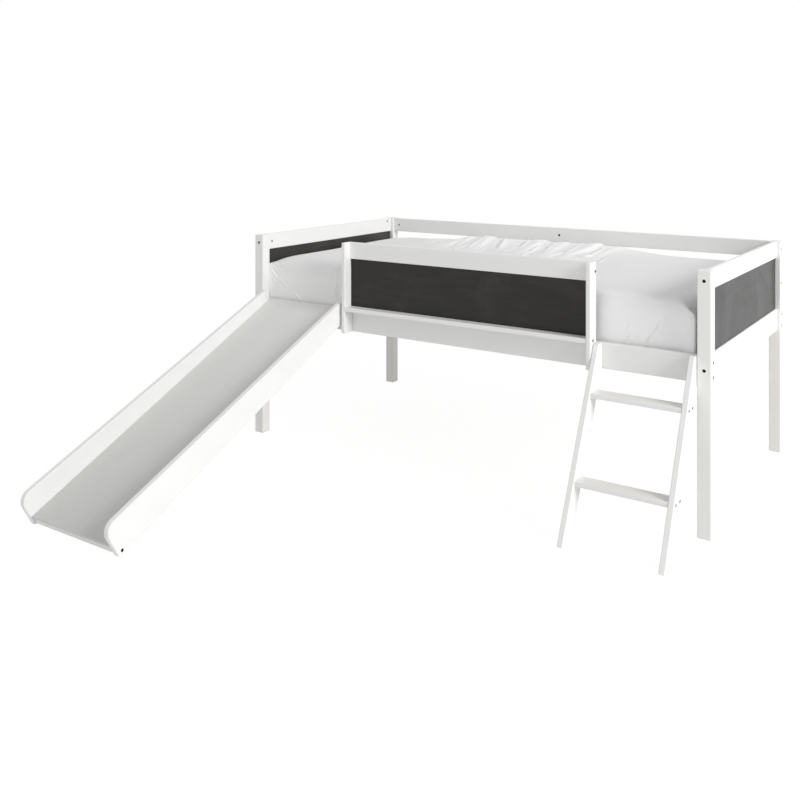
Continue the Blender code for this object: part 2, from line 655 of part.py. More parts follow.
def end_rail_places():
    """Through the posts' front and back faces into the end rails; the nuts face into the bed."""
    found = []
    for sign in (-1, 1):
        x = sign * POST_CENTRE_X
        for z, back_z in ((TOP_RAIL_MID, TOP_RAIL_MID + BACK_BOLT_RAISE), (RAIL_MID, RAIL_MID)):
            found.append((place(x, 0, z), Y_AXIS, X_AXIS * -sign))
            found.append((place(x, BED_DEPTH, back_z), -Y_AXIS, X_AXIS * -sign))
    return found


def long_rail_places(y, inward, heights):
    """Through the posts' outer X faces into the ends of one long rail."""
    return [(place(sign * (INNER_X + POST_SIDE), y, z), X_AXIS * -sign, inward)
            for sign in (-1, 1) for z in heights]


def guard_places():
    """Through the guard stiles into the guard rail and the ledge."""
    found = []
    for sign, x in ((-1, LEFT_STILE_X), (1, RIGHT_STILE_X)):
        face = x + sign * BOARD_THICKNESS / 2
        found.append((place(face, GUARD_RAIL_CENTRE_Y, TOP_RAIL_MID), X_AXIS * -sign, Y_AXIS))
        found.append((place(face, STILE_FRONT_Y + LEDGE_BOLT_INSET, LEDGE_BOTTOM + BOARD_THICKNESS / 2),
                      X_AXIS * -sign, -Z_AXIS))
    return found


def tread_recesses():
    """Two bolts through each ladder stile into each end of each tread."""
    found = []
    for sign, x in ((-1, LADDER_LEFT_X), (1, LADDER_RIGHT_X)):
        face = x + sign * LADDER_BOARD / 2
        for z in TREAD_CENTRES:
            for side in (-1, 1):
                found.append((place(face, tread_centre_y(z) + side * TREAD_BOLT_SPACING / 2, z), X_AXIS * -sign))
    return found


def rail_recesses():
    """Bolts from the front side rail's inner face into the stiles, the ladder and the slide."""
    meet = (STILE_BACK_Y - STILE_DEPTH - LADDER_FOOT_Y) / LADDER_SLOPE
    slide_z = slide_point(slide_along_at(SLIDE_TOUCH_Y, 0), 0).y + SLIDE_TOP_BOLT_ABOVE
    spots = [(x, z) for x in (LEFT_STILE_X, RIGHT_STILE_X) for z in side_bolt_heights()]
    spots += [(x, (SIDE_RAIL_TOP + meet) / 2) for x in (LADDER_LEFT_X, LADDER_RIGHT_X)]
    spots += [(x, slide_z) for x in (SLIDE_LEFT_X, SLIDE_RIGHT_X)]
    return [(place(x, RAIL_INNER_Y, z), -Y_AXIS) for x, z in spots]


def slide_foot_recesses():
    """Bolts through the slide's sides into the ends of the bar at its foot."""
    y, z = slide_point(SLIDE_FOOT_BOLT_ALONG, SLIDE_FOOT_BOLT_ABOVE)
    return [(place(SLIDE_LEFT_X - SLIDE_BOARD / 2, y, z), X_AXIS),
            (place(SLIDE_RIGHT_X + SLIDE_BOARD / 2, y, z), -X_AXIS)]


def back_stile_recesses():
    """Bolts from the inner faces of the three back rails into the stile behind them."""
    return [(place(0, y, z), Y_AXIS) for y, z in
            ((BACK_GUARD_INNER_Y, TOP_RAIL_MID), (BACK_GUARD_INNER_Y, BACK_GUARD_CENTRE),
             (BED_DEPTH - RAIL_INNER_Y, RAIL_MID))]


def side_bolt_heights():
    return RAIL_MID - SIDE_BOLT_SPACING / 2, RAIL_MID + SIDE_BOLT_SPACING / 2


def fasten(posts, rails, ends, back, front, ladder, slide):
    """Adds the bolts with their barrel nuts, and drills every hole and recess."""
    guard_y = (BACK_GUARD_INNER_Y + BACK_GUARD_OUTER_Y) / 2
    side_places = (long_rail_places(RAIL_CENTRE_Y, Y_AXIS, side_bolt_heights())
                   + long_rail_places(BED_DEPTH - RAIL_CENTRE_Y, -Y_AXIS, side_bolt_heights()))
    back_places = long_rail_places(guard_y, -Y_AXIS, (BACK_GUARD_CENTRE, TOP_RAIL_MID))
    end_holes = add_connectors("end_rail_bolt", end_rail_places(), POST_SIDE)
    side_holes = add_connectors("side_rail_bolt", side_places, POST_SIDE)
    back_holes = add_connectors("back_guard_bolt", back_places, POST_SIDE)
    guard_holes = add_connectors("guard_bolt", guard_places(), BOARD_THICKNESS)
    back_recesses = recess_cutter("back_stile_recesses", back_stile_recesses())
    for (row, side), post in posts.items():
        cut(post, end_holes[0], side_holes[0])
        if row == "back":
            cut(post, back_holes[0])
    for end in ends:
        for rail in end:
            cut(rail, *end_holes)
    for rail in rails.values():
        cut(rail, *side_holes)
    cut(rails["front"], recess_cutter("rail_recesses", rail_recesses()))
    cut(rails["back"], back_recesses)
    for guard in back[0]:
        cut(guard, *back_holes, back_recesses)
    stiles, rail, ledge = front
    for stile in stiles:
        cut(stile, guard_holes[0])
    for piece in (rail, ledge):
        cut(piece, *guard_holes)
    tread_holes = recess_cutter("tread_recesses", tread_recesses())
    for stile in ladder[0]:
        cut(stile, tread_holes)
    foot_holes = recess_cutter("slide_foot_recesses", slide_foot_recesses())
    for side in slide[0]:
        cut(side, foot_holes)


def build():
    posts = make_posts()
    rails = make_side_rails()
    make_cleats()
    make_slat_roll()
    ends = [make_end(side) for side in ("left", "right")]
    back = make_back_guard()
    front = make_front_guard()
    ladder = make_ladder()
    slide = make_slide()
    make_mattress()
    fasten(posts, rails, ends, back, front, ladder, slide)


clear_scene()
PARTS = new_collection("loft_bed")
CUTTERS = new_collection("cutters")
WHITE = make_material("white_painted_wood", (0.86, 0.86, 0.85), 0.35)
CHALK = make_material("chalkboard_black", (0.035, 0.032, 0.03), 0.75)
GREY = make_material("grey_sliding_panel", (0.62, 0.63, 0.61), 0.4)
PINE = make_material("bare_pine", (0.72, 0.56, 0.38), 0.6)
SHEET = make_material("white_sheet", (0.82, 0.82, 0.83), 0.85)
BLACK = make_material("black_steel", (0.02, 0.02, 0.02), 0.45, 0.6)
build()
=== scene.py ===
"""Looks of a low loft bed with a slide, a leaning ladder, chalkboards and a made-up mattress."""
import math

import bpy
from mathutils import Matrix, Vector, noise


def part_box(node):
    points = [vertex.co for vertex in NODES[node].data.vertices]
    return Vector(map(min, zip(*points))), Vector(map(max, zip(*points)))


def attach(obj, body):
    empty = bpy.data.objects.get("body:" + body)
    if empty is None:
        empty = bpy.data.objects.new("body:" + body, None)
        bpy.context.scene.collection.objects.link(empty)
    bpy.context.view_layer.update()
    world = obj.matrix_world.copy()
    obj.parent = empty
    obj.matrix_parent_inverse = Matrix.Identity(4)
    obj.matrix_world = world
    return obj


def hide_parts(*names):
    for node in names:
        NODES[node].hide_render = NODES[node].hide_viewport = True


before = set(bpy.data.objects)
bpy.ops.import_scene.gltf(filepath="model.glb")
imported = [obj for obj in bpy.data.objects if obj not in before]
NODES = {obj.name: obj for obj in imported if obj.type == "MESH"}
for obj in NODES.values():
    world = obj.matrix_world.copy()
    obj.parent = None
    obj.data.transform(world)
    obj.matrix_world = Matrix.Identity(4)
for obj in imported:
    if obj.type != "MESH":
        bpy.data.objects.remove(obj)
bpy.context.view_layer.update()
FRONT_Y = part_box("post_front_left")[0].y


def bed_point(x, y, z):
    """A point given with Y = 0 on the front posts' faces."""
    return Vector((x, y + FRONT_Y, z))


def from_millimetres(values):
    """Numbers of a table, however nested, in metres."""
    if isinstance(values, (int, float)):
        return values / 1000
    return [from_millimetres(value) for value in values]


# Boards by the way their grain runs
BOARDS_ALONG_X = [
    "side_rail_front", "side_rail_back", "back_guard_rail_upper", "back_guard_rail_lower", "guard_top_rail",
    "guard_ledge", "ladder_tread_lower", "ladder_tread_upper",
    "slide_crossbar_1", "slide_crossbar_2", "slide_crossbar_3", "slide_crossbar_4",
]
BOARDS_ALONG_Y = ["end_left_top_rail", "end_left_bottom_rail", "end_right_top_rail", "end_right_bottom_rail"]
BOARDS_ALONG_Z = [
    "post_front_left", "post_front_right", "post_back_left", "post_back_right",
    "guard_stile_left", "guard_stile_right", "back_guard_stile",
]

LADDER_LEAN = math.radians(27.3)
SLIDE_ANGLE = math.radians(25.4)
BED_CENTRE_Y = 0.5455 + FRONT_Y
STRAP_OFFSET = 0.250
SLAT_TOP = 0.572
SLAT_WIDTH = 0.070
SLAT_COUNT = 13
WEB_TOP = 0.5732
MATTRESS_EDGE_TOP = 0.797
HEM_DEPTH = 0.11
SHEET_FRONT = 0.0425 + FRONT_Y
SHEET_BACK = 1.0490 + FRONT_Y

# Hardware
HEAD_RADIUS = 0.0059
HEAD_THICKNESS = 0.0028
HEAD_RIM = 0.0006
HEAD_RECESS = 0.0007
SOCKET_RADIUS = 0.0029
SOCKET_DEPTH = 0.0018
SHANK_RADIUS = 0.0029
NUT_RADIUS = 0.0049
NUT_LENGTH = 0.0158
NUT_RIM = 0.0005
NUT_FROM_END = 0.009
SLOT_WIDTH = 0.0014
SLOT_DEPTH = 0.0016
GUARD_CENTRE_X = 0.053
LEDGE_BOLTS = (2, 4)
STAPLE_SIZE = (0.0011, 0.0105, 0.0009)
STAPLE_RIM = 0.0002
STAPLE_PROUD = 0.0002
STAPLE_TURN = 0.09
SCREW_RADIUS = 0.0038
SCREW_PROUD = 0.0007
SCREW_CROSS = (SCREW_RADIUS, 0.2 * SCREW_RADIUS, 1.5 * SCREW_PROUD)
SCREW_OFFSET = 0.455
SCREW_TURN = 0.4

# Bolts with barrel nuts: their nodes' name, how many, the axis they lie along
NUT_BOLTS = [("end_rail_bolt", 8, 1), ("side_rail_bolt", 8, 0),
             ("back_guard_bolt", 4, 0), ("guard_bolt", 4, 0)]
# Heads in the recesses of the boards: a point on the face and the way in
TREAD_BOLTS = [(bed_point(x, y, z), Vector((way, 0, 0)))
               for x, way in ((0.6162, 1), (0.9778, -1))
               for y, z in ((-0.21865, 0.1809), (-0.17865, 0.1809), (-0.08175, 0.446), (-0.04175, 0.446))]
RAIL_BOLTS = [(bed_point(x, 0.0385, z), Vector((0, -1, 0)))
              for x, z in ((-0.490, 0.5395), (-0.490, 0.5895), (0.606, 0.5395), (0.606, 0.5895),
                           (0.6272, 0.5706), (0.9668, 0.5706), (-0.9658, 0.582), (-0.5225, 0.582))]
SLIDE_FOOT_BOLTS = [(bed_point(-0.9778, -1.1713, 0.019), Vector((1, 0, 0))),
                    (bed_point(-0.5105, -1.1713, 0.019), Vector((-1, 0, 0)))]
BACK_STILE_BOLTS = [(bed_point(0, y, z), Vector((0, 1, 0)))
                    for y, z in ((1.0545, 0.865), (1.0545, 0.7205), (1.0525, 0.5645))]


# Shader helpers

MIX_FACTOR, MIX_FIRST, MIX_SECOND, MIX_RESULT = 0, 6, 7, 2


def feed(tree, socket, value):
    """Links another socket to a socket, or sets it to a number, a vector or a colour."""
    if isinstance(value, bpy.types.NodeSocket):
        tree.links.new(value, socket)
    elif socket.type == "RGBA":
        socket.default_value = (*value, 1)
    else:
        socket.default_value = value


def set_sockets(tree, node, **inputs):
    """Feeds some of a node's sockets by name."""
    for name, value in inputs.items():
        feed(tree, node.inputs[name.replace("_", " ")], value)


def add_node(tree, kind, place, **inputs):
    """A node at a place on the canvas, with some of its sockets fed by name."""
    node = tree.nodes.new(kind)
    node.location = place
    set_sockets(tree, node, **inputs)
    return node


def add_math(tree, operation, place, *values, clamp=False):
    """The result of a Math node; a value is a number or a socket."""
    node = add_node(tree, "ShaderNodeMath", place)
    node.operation = operation
    node.use_clamp = clamp
    for socket, value in zip(node.inputs, values):
        feed(tree, socket, value)
    return node.outputs[0]


def times(tree, place, first, second):
    return add_math(tree, "MULTIPLY", place, first, second)


def plus(tree, place, first, second, clamp=False):
    return add_math(tree, "ADD", place, first, second, clamp=clamp)


def scale_vector(tree, place, vector, factors):
    """A vector with each coordinate multiplied; one number or socket scales all three."""
    node = add_node(tree, "ShaderNodeVectorMath", place)
    node.operation = "MULTIPLY" if isinstance(factors, tuple) else "SCALE"
    feed(tree, node.inputs[0], vector)
    feed(tree, node.inputs[1 if isinstance(factors, tuple) else "Scale"], factors)
    return node.outputs[0]


def split_vector(tree, place, vector):
    """The outputs X, Y and Z of a vector."""
    return add_node(tree, "ShaderNodeSeparateXYZ", place, Vector=vector).outputs


def add_noise(tree, place, vector, **settings):
    return add_node(tree, "ShaderNodeTexNoise", place, Vector=vector, **settings).outputs["Fac"]


def remap(tree, place, value, old=(0.0, 1.0), new=(0.0, 1.0)):
    """A value carried from one range to another and kept inside it."""
    return add_node(tree, "ShaderNodeMapRange", place, Value=value, From_Min=old[0], From_Max=old[1],
                    To_Min=new[0], To_Max=new[1]).outputs["Result"]


def mix_colors(tree, factor, first, second, place=(-300, 200)):
    mix = add_node(tree, "ShaderNodeMix", place)
    mix.data_type = "RGBA"
    for index, value in ((MIX_FACTOR, factor), (MIX_FIRST, first), (MIX_SECOND, second)):
        feed(tree, mix.inputs[index], value)
    return mix.outputs[MIX_RESULT]


def add_bump(tree, height, strength, distance):
    return add_node(tree, "ShaderNodeBump", (-250, -350), Height=height, Strength=strength,
                    Distance=distance).outputs["Normal"]


def new_group(name, outputs, **inputs):
    """A node group fed by a vector and some numbers, and the outputs of its first node."""
    group = bpy.data.node_groups.new(name, "ShaderNodeTree")
    add_socket = group.interface.new_socket
    add_socket("Vector", in_out="INPUT", socket_type="NodeSocketVector")
    for label, value in inputs.items():
        add_socket(label, in_out="INPUT", socket_type="NodeSocketFloat").default_value = value
    for label in outputs:
        add_socket(label, in_out="OUTPUT", socket_type="NodeSocketFloat")
    return group, add_node(group, "NodeGroupInput", (-900, 0)).outputs


def end_group(group, **results):
    add_node(group, "NodeGroupOutput", (900, 0), **results)
    return group


def place_group(tree, group, place, vector, **inputs):
    """The outputs of a group, with its sockets fed by name."""
    node = add_node(tree, "ShaderNodeGroup", place)
    node.node_tree = group
    set_sockets(tree, node, Vector=vector, **inputs)
    return node.outputs


# How far grain, fibres, knots and wiped chalk are stretched, and how strongly they count
BAND_STRETCH = (1.6, 26.0, 26.0)
FIBRE_STRETCH = (9.0, 420.0, 420.0)
KNOT_STRETCH = (2.6, 7.0, 7.0)
KNOT_SHARPNESS = 9.0
BAND_RELIEF = 0.6
BROAD_MARKS, FINE_MARKS = 2.2, 38.0
WIPE_STRETCH = (3.0, 3.0, 34.0)
WIPE_SHARE = 0.6


def make_grain_group():
    """Wood grain that runs along X: soft growth bands, fine fibres and a few knots."""
    group, start = new_group("wood grain", ["Tone", "Height", "Knots"], Bands=1.0, Fibres=1.0)
    stretched = scale_vector(group, (-700, 0), start["Vector"], BAND_STRETCH)
    drift = add_noise(group, (-500, 250), stretched, Scale=0.9, Detail=2.0)
    bands = add_node(group, "ShaderNodeTexWave", (-300, 250), Vector=stretched, Scale=0.35, Distortion=7.0,
                     Detail=2.0)
    bands.bands_direction = "Y"
    drawn_out = scale_vector(group, (-700, -250), start["Vector"], FIBRE_STRETCH)
    fibres = add_noise(group, (-500, -250), drawn_out, Scale=1.0, Detail=3.0, Roughness=0.6)
    spaced = scale_vector(group, (-700, -500), start["Vector"], KNOT_STRETCH)
    knots = add_node(group, "ShaderNodeTexVoronoi", (-500, -500), Vector=spaced, Scale=1.0)
    away = times(group, (-400, -600), knots.outputs["Distance"], KNOT_SHARPNESS)
    spot = add_math(group, "SUBTRACT", (-300, -500), 1.0, away, clamp=True)
    banded = times(group, (0, 250), bands.outputs["Fac"], start["Bands"])
    blended = times(group, (0, 100), drift, banded)
    fibred = times(group, (0, -200), fibres, start["Fibres"])
    height = plus(group, (300, 0), times(group, (150, 50), blended, BAND_RELIEF), fibred)
    return end_group(group, Tone=blended, Height=height, Knots=spot)


def make_handling_group():
    """Soft uneven marks of use and of a brushed coat, at two scales."""
    group, start = new_group("handling marks", ["Broad", "Fine"], Size=1.0)
    broad = add_noise(group, (-300, 150), start["Vector"], Detail=3.0, Roughness=0.55,
                      Scale=times(group, (-500, 100), start["Size"], BROAD_MARKS))
    fine = add_noise(group, (-300, -150), start["Vector"], Detail=4.0, Roughness=0.6,
                     Scale=times(group, (-500, -200), start["Size"], FINE_MARKS))
    return end_group(group, Broad=broad, Fine=fine)


def make_chalk_group():
    """Chalk haze left by a dry cloth: clouds, wiped streaks along X and Y, and dust specks."""
    group, start = new_group("chalk haze", ["Mask"], Haze=1.0, Specks=1.0)
    clouds = add_noise(group, (-500, 300), start["Vector"], Scale=3.4, Detail=5.0, Roughness=0.62,
                       Distortion=0.7)
    wiped = scale_vector(group, (-700, 0), start["Vector"], WIPE_STRETCH)
    streaks = add_noise(group, (-500, 0), wiped, Scale=1.0, Detail=4.0, Distortion=1.4)
    specks = add_noise(group, (-500, -300), start["Vector"], Scale=900.0, Detail=1.0)
    cloud = remap(group, (-200, 300), clouds, old=(0.48, 0.78))
    streak = remap(group, (-200, 0), streaks, old=(0.5, 0.85))
    speck = remap(group, (-200, -300), specks, old=(0.62, 0.74))
    clouded = plus(group, (0, 200), cloud, times(group, (0, 0), streak, WIPE_SHARE))
    haze = times(group, (200, 200), clouded, start["Haze"])
    dust = times(group, (200, -300), times(group, (0, -300), speck, cloud), start["Specks"])
    return end_group(group, Mask=plus(group, (500, 0), haze, dust, clamp=True))


def make_weave_group():
    """A plain weave on any face that lies square to an axis."""
    group, start = new_group("plain weave", ["Height"], Threads=1400.0)
    scaled = scale_vector(group, (-600, 0), start["Vector"], start["Threads"])
    threads = split_vector(group, (-400, 0), scaled)
    waves = [add_math(group, "SINE", (-200, 200 - 200 * axis), threads[axis]) for axis in range(3)]
    both = plus(group, (0, 100), waves[0], waves[1])
    return end_group(group, Height=plus(group, (200, 0), both, waves[2]))


GRAIN = make_grain_group()
HANDLING = make_handling_group()
CHALK_HAZE = make_chalk_group()
WEAVE = make_weave_group()


# Surface finishes

PAINT_WHITE = (0.845, 0.845, 0.838)
PAINT_SHADE = (0.775, 0.778, 0.768)
PAINTED_BANDS = 0.42
PAINTED_KNOTS = 0.35
BRUSH_RELIEF = 0.5
BOARD_BLACK = (0.0185, 0.0170, 0.0160)
BOARD_CHALKED = (0.070, 0.067, 0.063)
# The slide panel's colour at its foot and at its top; the darker foot is painted shade
PANEL_LOW = (0.565, 0.572, 0.550)
PANEL_HIGH = (0.715, 0.725, 0.697)
PANEL_HEIGHTS = (0.03, 0.60)
WEAR_STRETCH = (60.0, 1.6, 60.0)
WEAR_SHARE = 0.35
PINE_LIGHT = (0.78, 0.62, 0.42)
PINE_DARK = (0.56, 0.37, 0.19)
KNOT_BROWN = (0.24, 0.12, 0.055)
STRAP_WHITE = (0.72, 0.72, 0.70)
STRAP_HALF_WIDTH = 0.0128
STRAP_SINK = 0.0005
SHEET_SHADE = (0.91, 0.905, 0.907)
SHEET_WHITE = (0.945, 0.94, 0.938)
# Painted shade: the flat of the sheet's top is painted in this greyer colour
SHEET_TOP_PAINTED_SHADE = (0.82, 0.815, 0.815)
# Heights over which the painted shade on the flat of the sheet's top comes and goes
SHEET_TOP_SHADE_FROM = (0.72, 0.80)
SHEET_TOP_SHADE_TO = (0.812, 0.828)
SHEET_WEAVE = 0.012
SHEET_RIPPLE = 0.55
TICKING_WEAVE = 0.04
ZINC_DULL = (0.55, 0.55, 0.53)
ZINC_BRIGHT = (0.70, 0.70, 0.68)


def new_material(name, color, roughness, **inputs):
    """A material with a flat colour and roughness, its tree and its surface shader."""
    material = bpy.data.materials.new(name)
    material.use_nodes = True
    material.diffuse_color = (*color, 1)
    shader = material.node_tree.nodes["Principled BSDF"]
    set_sockets(material.node_tree, shader, Base_Color=color, Roughness=roughness, **inputs)
    return material, material.node_tree, shader


def object_place(tree, turn=(0, 0, 0), shift=(0, 0, 0)):
    """The surface's own place, turned so that the grain runs along X."""
    place = add_node(tree, "ShaderNodeTexCoord", (-1300, 0)).outputs["Object"]
    return add_node(tree, "ShaderNodeMapping", (-1100, 0), Vector=place, Rotation=turn,
                    Location=shift).outputs[0]


def own_coordinates(tree, place):
    """The outputs X, Y and Z of the surface's own place, before any turn."""
    return split_vector(tree, place, tree.nodes["Texture Coordinate"].outputs["Object"])


def painted_wood(name, turn, shift=(0, 0, 0)):
    """Semi-gloss white paint with the grain of the pine faintly showing through."""
    material, tree, shader = new_material(name, PAINT_WHITE, 0.36)
    place = object_place(tree, turn, shift)
    grain = place_group(tree, GRAIN, (-850, 100), place, Fibres=0.35)
    marks = place_group(tree, HANDLING, (-850, -250), place)
    knotted = plus(tree, (-500, 150), times(tree, (-600, 200), grain["Tone"], PAINTED_BANDS),
                   times(tree, (-600, 0), grain["Knots"], PAINTED_KNOTS), clamp=True)
    height = plus(tree, (-450, -400), grain["Height"], times(tree, (-600, -450), marks["Fine"], BRUSH_RELIEF))
    set_sockets(tree, shader,
                Base_Color=mix_colors(tree, knotted, PAINT_WHITE, PAINT_SHADE),
                Roughness=remap(tree, (-500, -150), marks["Broad"], new=(0.30, 0.46)),
                Normal=add_bump(tree, height, strength=0.32, distance=0.0006))
    return material


def chalkboard_finish(name, shine):
    """Matt black board with the haze of wiped chalk."""
    material, tree, shader = new_material(name, (0.02, 0.019, 0.018), 0.4, Specular_IOR_Level=shine)
    place = object_place(tree)
    haze = place_group(tree, CHALK_HAZE, (-800, 100), place, Haze=0.35, Specks=0.5)["Mask"]
    marks = place_group(tree, HANDLING, (-800, -300), place, Size=14.0)
    set_sockets(tree, shader,
                Base_Color=mix_colors(tree, haze, BOARD_BLACK, BOARD_CHALKED),
                Roughness=remap(tree, (-500, -100), haze, new=(0.31, 0.66)),
                Normal=add_bump(tree, marks["Fine"], strength=0.25, distance=0.0003))
    return material


def slide_panel_finish():
    """Pale grey laminated board with worn streaks, and painted shade that makes it darker towards its foot.
    """
    material, tree, shader = new_material("slide_panel", (0.56, 0.57, 0.545), 0.33)
    place = object_place(tree, (SLIDE_ANGLE, 0, 0))
    stretched = scale_vector(tree, (-950, 100), place, WEAR_STRETCH)
    worn = add_noise(tree, (-750, 100), stretched, Scale=1.0, Detail=4.0, Roughness=0.55)
    marks = place_group(tree, HANDLING, (-850, -250), place, Size=0.8)
    height = own_coordinates(tree, (-950, 400))["Z"]
    # Painted shade: darker towards the foot by height; the noise streaks added to it are wear
    painted_foot_shade = remap(tree, (-750, 400), height, old=PANEL_HEIGHTS)
    streaks = times(tree, (-600, 200), add_math(tree, "SUBTRACT", (-680, 200), worn, 0.5), WEAR_SHARE)
    shade_and_wear = plus(tree, (-500, 350), painted_foot_shade, streaks, clamp=True)
    set_sockets(tree, shader,
                Base_Color=mix_colors(tree, shade_and_wear, PANEL_LOW, PANEL_HIGH),
                Roughness=remap(tree, (-500, -150), marks["Broad"], new=(0.26, 0.42)),
                Normal=add_bump(tree, worn, strength=0.12, distance=0.0003))
    return material


def bare_pine(name, turn, strapped=False):
    """Planed pine; on the slats, the two white straps show where they run over them."""
    material, tree, shader = new_material(name, (0.74, 0.57, 0.37), 0.6)
    grain = place_group(tree, GRAIN, (-850, 100), object_place(tree, turn), Fibres=0.6)
    wood = mix_colors(tree, grain["Tone"], PINE_LIGHT, PINE_DARK, (-500, 250))
    color = mix_colors(tree, grain["Knots"], wood, KNOT_BROWN)
    if strapped:
        color = mix_colors(tree, strap_mask(tree), color, STRAP_WHITE, (-100, 250))
    set_sockets(tree, shader, Base_Color=color,
                Normal=add_bump(tree, grain["Height"], strength=0.4, distance=0.0008))
    return material


def strap_mask(tree):
    """One where the slats' straps are, by height and by distance from the bed's middle."""
    place = own_coordinates(tree, (-1100, 600))
    high = add_math(tree, "GREATER_THAN", (-900, 700), place["Z"], SLAT_TOP - STRAP_SINK)
    side = add_math(tree, "ABSOLUTE", (-700, 550), add_math(
        tree, "SUBTRACT", (-900, 550), place["Y"], BED_CENTRE_Y))
    near = add_math(tree, "COMPARE", (-500, 550), side, STRAP_OFFSET, STRAP_HALF_WIDTH)
    return times(tree, (-300, 600), high, near)


def sheet_finish():
    """Cotton sheet, pale grey-white, woven, with painted shade that makes it a little greyer where it lies
    flat on top.
    """
    material, tree, shader = new_material("cotton_sheet", (0.76, 0.76, 0.77), 0.88, Sheen_Weight=0.15)
    place = object_place(tree)
    marks = place_group(tree, HANDLING, (-850, -250), place, Size=0.9)
    weave = place_group(tree, WEAVE, (-850, -500), place, Threads=3600.0)
    ripple = place_group(tree, HANDLING, (-850, -750), place, Size=5.0)
    sheet_tone = mix_colors(tree, marks["Broad"], SHEET_SHADE, SHEET_WHITE, (-500, 200))
    height = own_coordinates(tree, (-900, 450))["Z"]
    # Painted shade: greyer over the flat of the top, fading out again on the raised folds
    flat = times(tree, (-500, 500), remap(tree, (-700, 450), height, old=SHEET_TOP_SHADE_FROM),
                 remap(tree, (-700, 700), height, old=SHEET_TOP_SHADE_TO, new=(1.0, 0.0)))
    relief = plus(tree, (-450, -600), times(tree, (-600, -500), weave["Height"], SHEET_WEAVE),
                  times(tree, (-600, -700), ripple["Broad"], SHEET_RIPPLE))
    set_sockets(tree, shader, Base_Color=mix_colors(tree, flat, sheet_tone, SHEET_TOP_PAINTED_SHADE),
                Normal=add_bump(tree, relief, strength=0.8, distance=0.0022))
    return material


def ticking_finish():
    """The mattress's own cover, seen from below."""
    material, tree, shader = new_material("mattress_ticking", (0.70, 0.69, 0.66), 0.9)
    place = object_place(tree)
    weave = place_group(tree, WEAVE, (-850, -300), place, Threads=1500.0)
    quilt = place_group(tree, WEAVE, (-850, -550), place, Threads=46.0)
    woven = times(tree, (-700, -300), weave["Height"], TICKING_WEAVE)
    relief = plus(tree, (-600, -400), woven, quilt["Height"])
    set_sockets(tree, shader, Normal=add_bump(tree, relief, strength=0.5, distance=0.003))
    return material


def dark_steel():
    """Blackened steel of the bolts and barrel nuts."""
    material, tree, shader = new_material("blackened_steel", (0.012, 0.012, 0.013), 0.5,
                                          Metallic=0.35, Specular_IOR_Level=0.2)
    marks = place_group(tree, HANDLING, (-800, -200), object_place(tree), Size=20.0)
    set_sockets(tree, shader, Roughness=remap(tree, (-500, -150), marks["Fine"], new=(0.42, 0.62)))
    return material


def zinc_steel():
    """Bright zinc of the staples and the slat screws."""
    material, tree, shader = new_material("zinc_steel", (0.62, 0.62, 0.60), 0.35, Metallic=0.9)
    marks = place_group(tree, HANDLING, (-800, -200), object_place(tree), Size=20.0)
    set_sockets(tree, shader, Base_Color=mix_colors(tree, marks["Fine"], ZINC_DULL, ZINC_BRIGHT))
    return material


QUARTER = math.pi / 2
PAINT_X = painted_wood("white_paint_x", (0, 0, 0))
PAINT_Y = painted_wood("white_paint_y", (0, 0, -QUARTER), (0.3, 0, 0.2))
PAINT_Z = painted_wood("white_paint_z", (0, QUARTER, 0), (0.1, 0.4, 0))
PAINT_LADDER = painted_wood("white_paint_ladder", (QUARTER - LADDER_LEAN, 0, -QUARTER), (0.6, 0.2, 0))
PAINT_SLIDE = painted_wood("white_paint_slide", (SLIDE_ANGLE, 0, -QUARTER), (0.2, 0.7, 0))
GUARD_CHALKBOARD = chalkboard_finish("chalkboard", 0.28)
END_CHALKBOARD = chalkboard_finish("chalkboard_ends", 0.41)
SLIDE_PANEL = slide_panel_finish()
PINE_X = bare_pine("bare_pine_x", (0, 0, 0))
SLAT_PINE = bare_pine("slat_pine", (0, 0, -QUARTER), strapped=True)
SHEET = sheet_finish()
TICKING = ticking_finish()
BLACK = dark_steel()
ZINC = zinc_steel()

FINISHES = [
    (BOARDS_ALONG_X, PAINT_X), (BOARDS_ALONG_Y, PAINT_Y), (BOARDS_ALONG_Z, PAINT_Z),
    (["ladder_stile_left", "ladder_stile_right"], PAINT_LADDER),
    (["slide_side_left", "slide_side_right"], PAINT_SLIDE), (["slide_bed"], SLIDE_PANEL),
    (["guard_chalkboard"], GUARD_CHALKBOARD),
    (["end_left_chalkboard", "end_right_chalkboard"], END_CHALKBOARD),
    (["slat_cleat_front", "slat_cleat_back"], PINE_X), (["slat_roll"], SLAT_PINE),
]


def set_materials(obj, *materials):
    obj.data.materials.clear()
    for material in materials:
        obj.data.materials.append(material)


def finish_cad_nodes():
    for names, material in FINISHES:
        for name in names:
            set_materials(NODES[name], material)


# Modelling helpers

# How squarely a face has to look along an axis
FACING = 0.9
SMOOTH_ANGLE = math.radians(35.0)
ROUND_SIDES = 24
SOCKET_SIDES = 6
RIM_SEGMENTS = 2


def select_only(obj):
    bpy.ops.object.select_all(action="DESELECT")
    obj.select_set(True)
    bpy.context.view_layer.objects.active = obj


def begin_edit(obj, action):
    """Puts one object in edit mode, with all of it selected or none."""
    select_only(obj)
    bpy.ops.object.mode_set(mode="EDIT")
    bpy.ops.mesh.select_all(action=action)


def end_edit():
    bpy.ops.object.mode_set(mode="OBJECT")


def select_faces(obj, wanted):
    """Leaves the object in edit mode with the faces selected that the test picks."""
    begin_edit(obj, "DESELECT")
    end_edit()
    for face in obj.data.polygons:
        face.select = wanted(face)
    bpy.ops.object.mode_set(mode="EDIT")
    bpy.ops.mesh.select_mode(type="FACE")


def bevel(offset, segments):
    """Rounds the edges of what is selected, and ends the edit."""
    bpy.ops.mesh.bevel(offset=offset, segments=segments, affect="EDGES")
    end_edit()


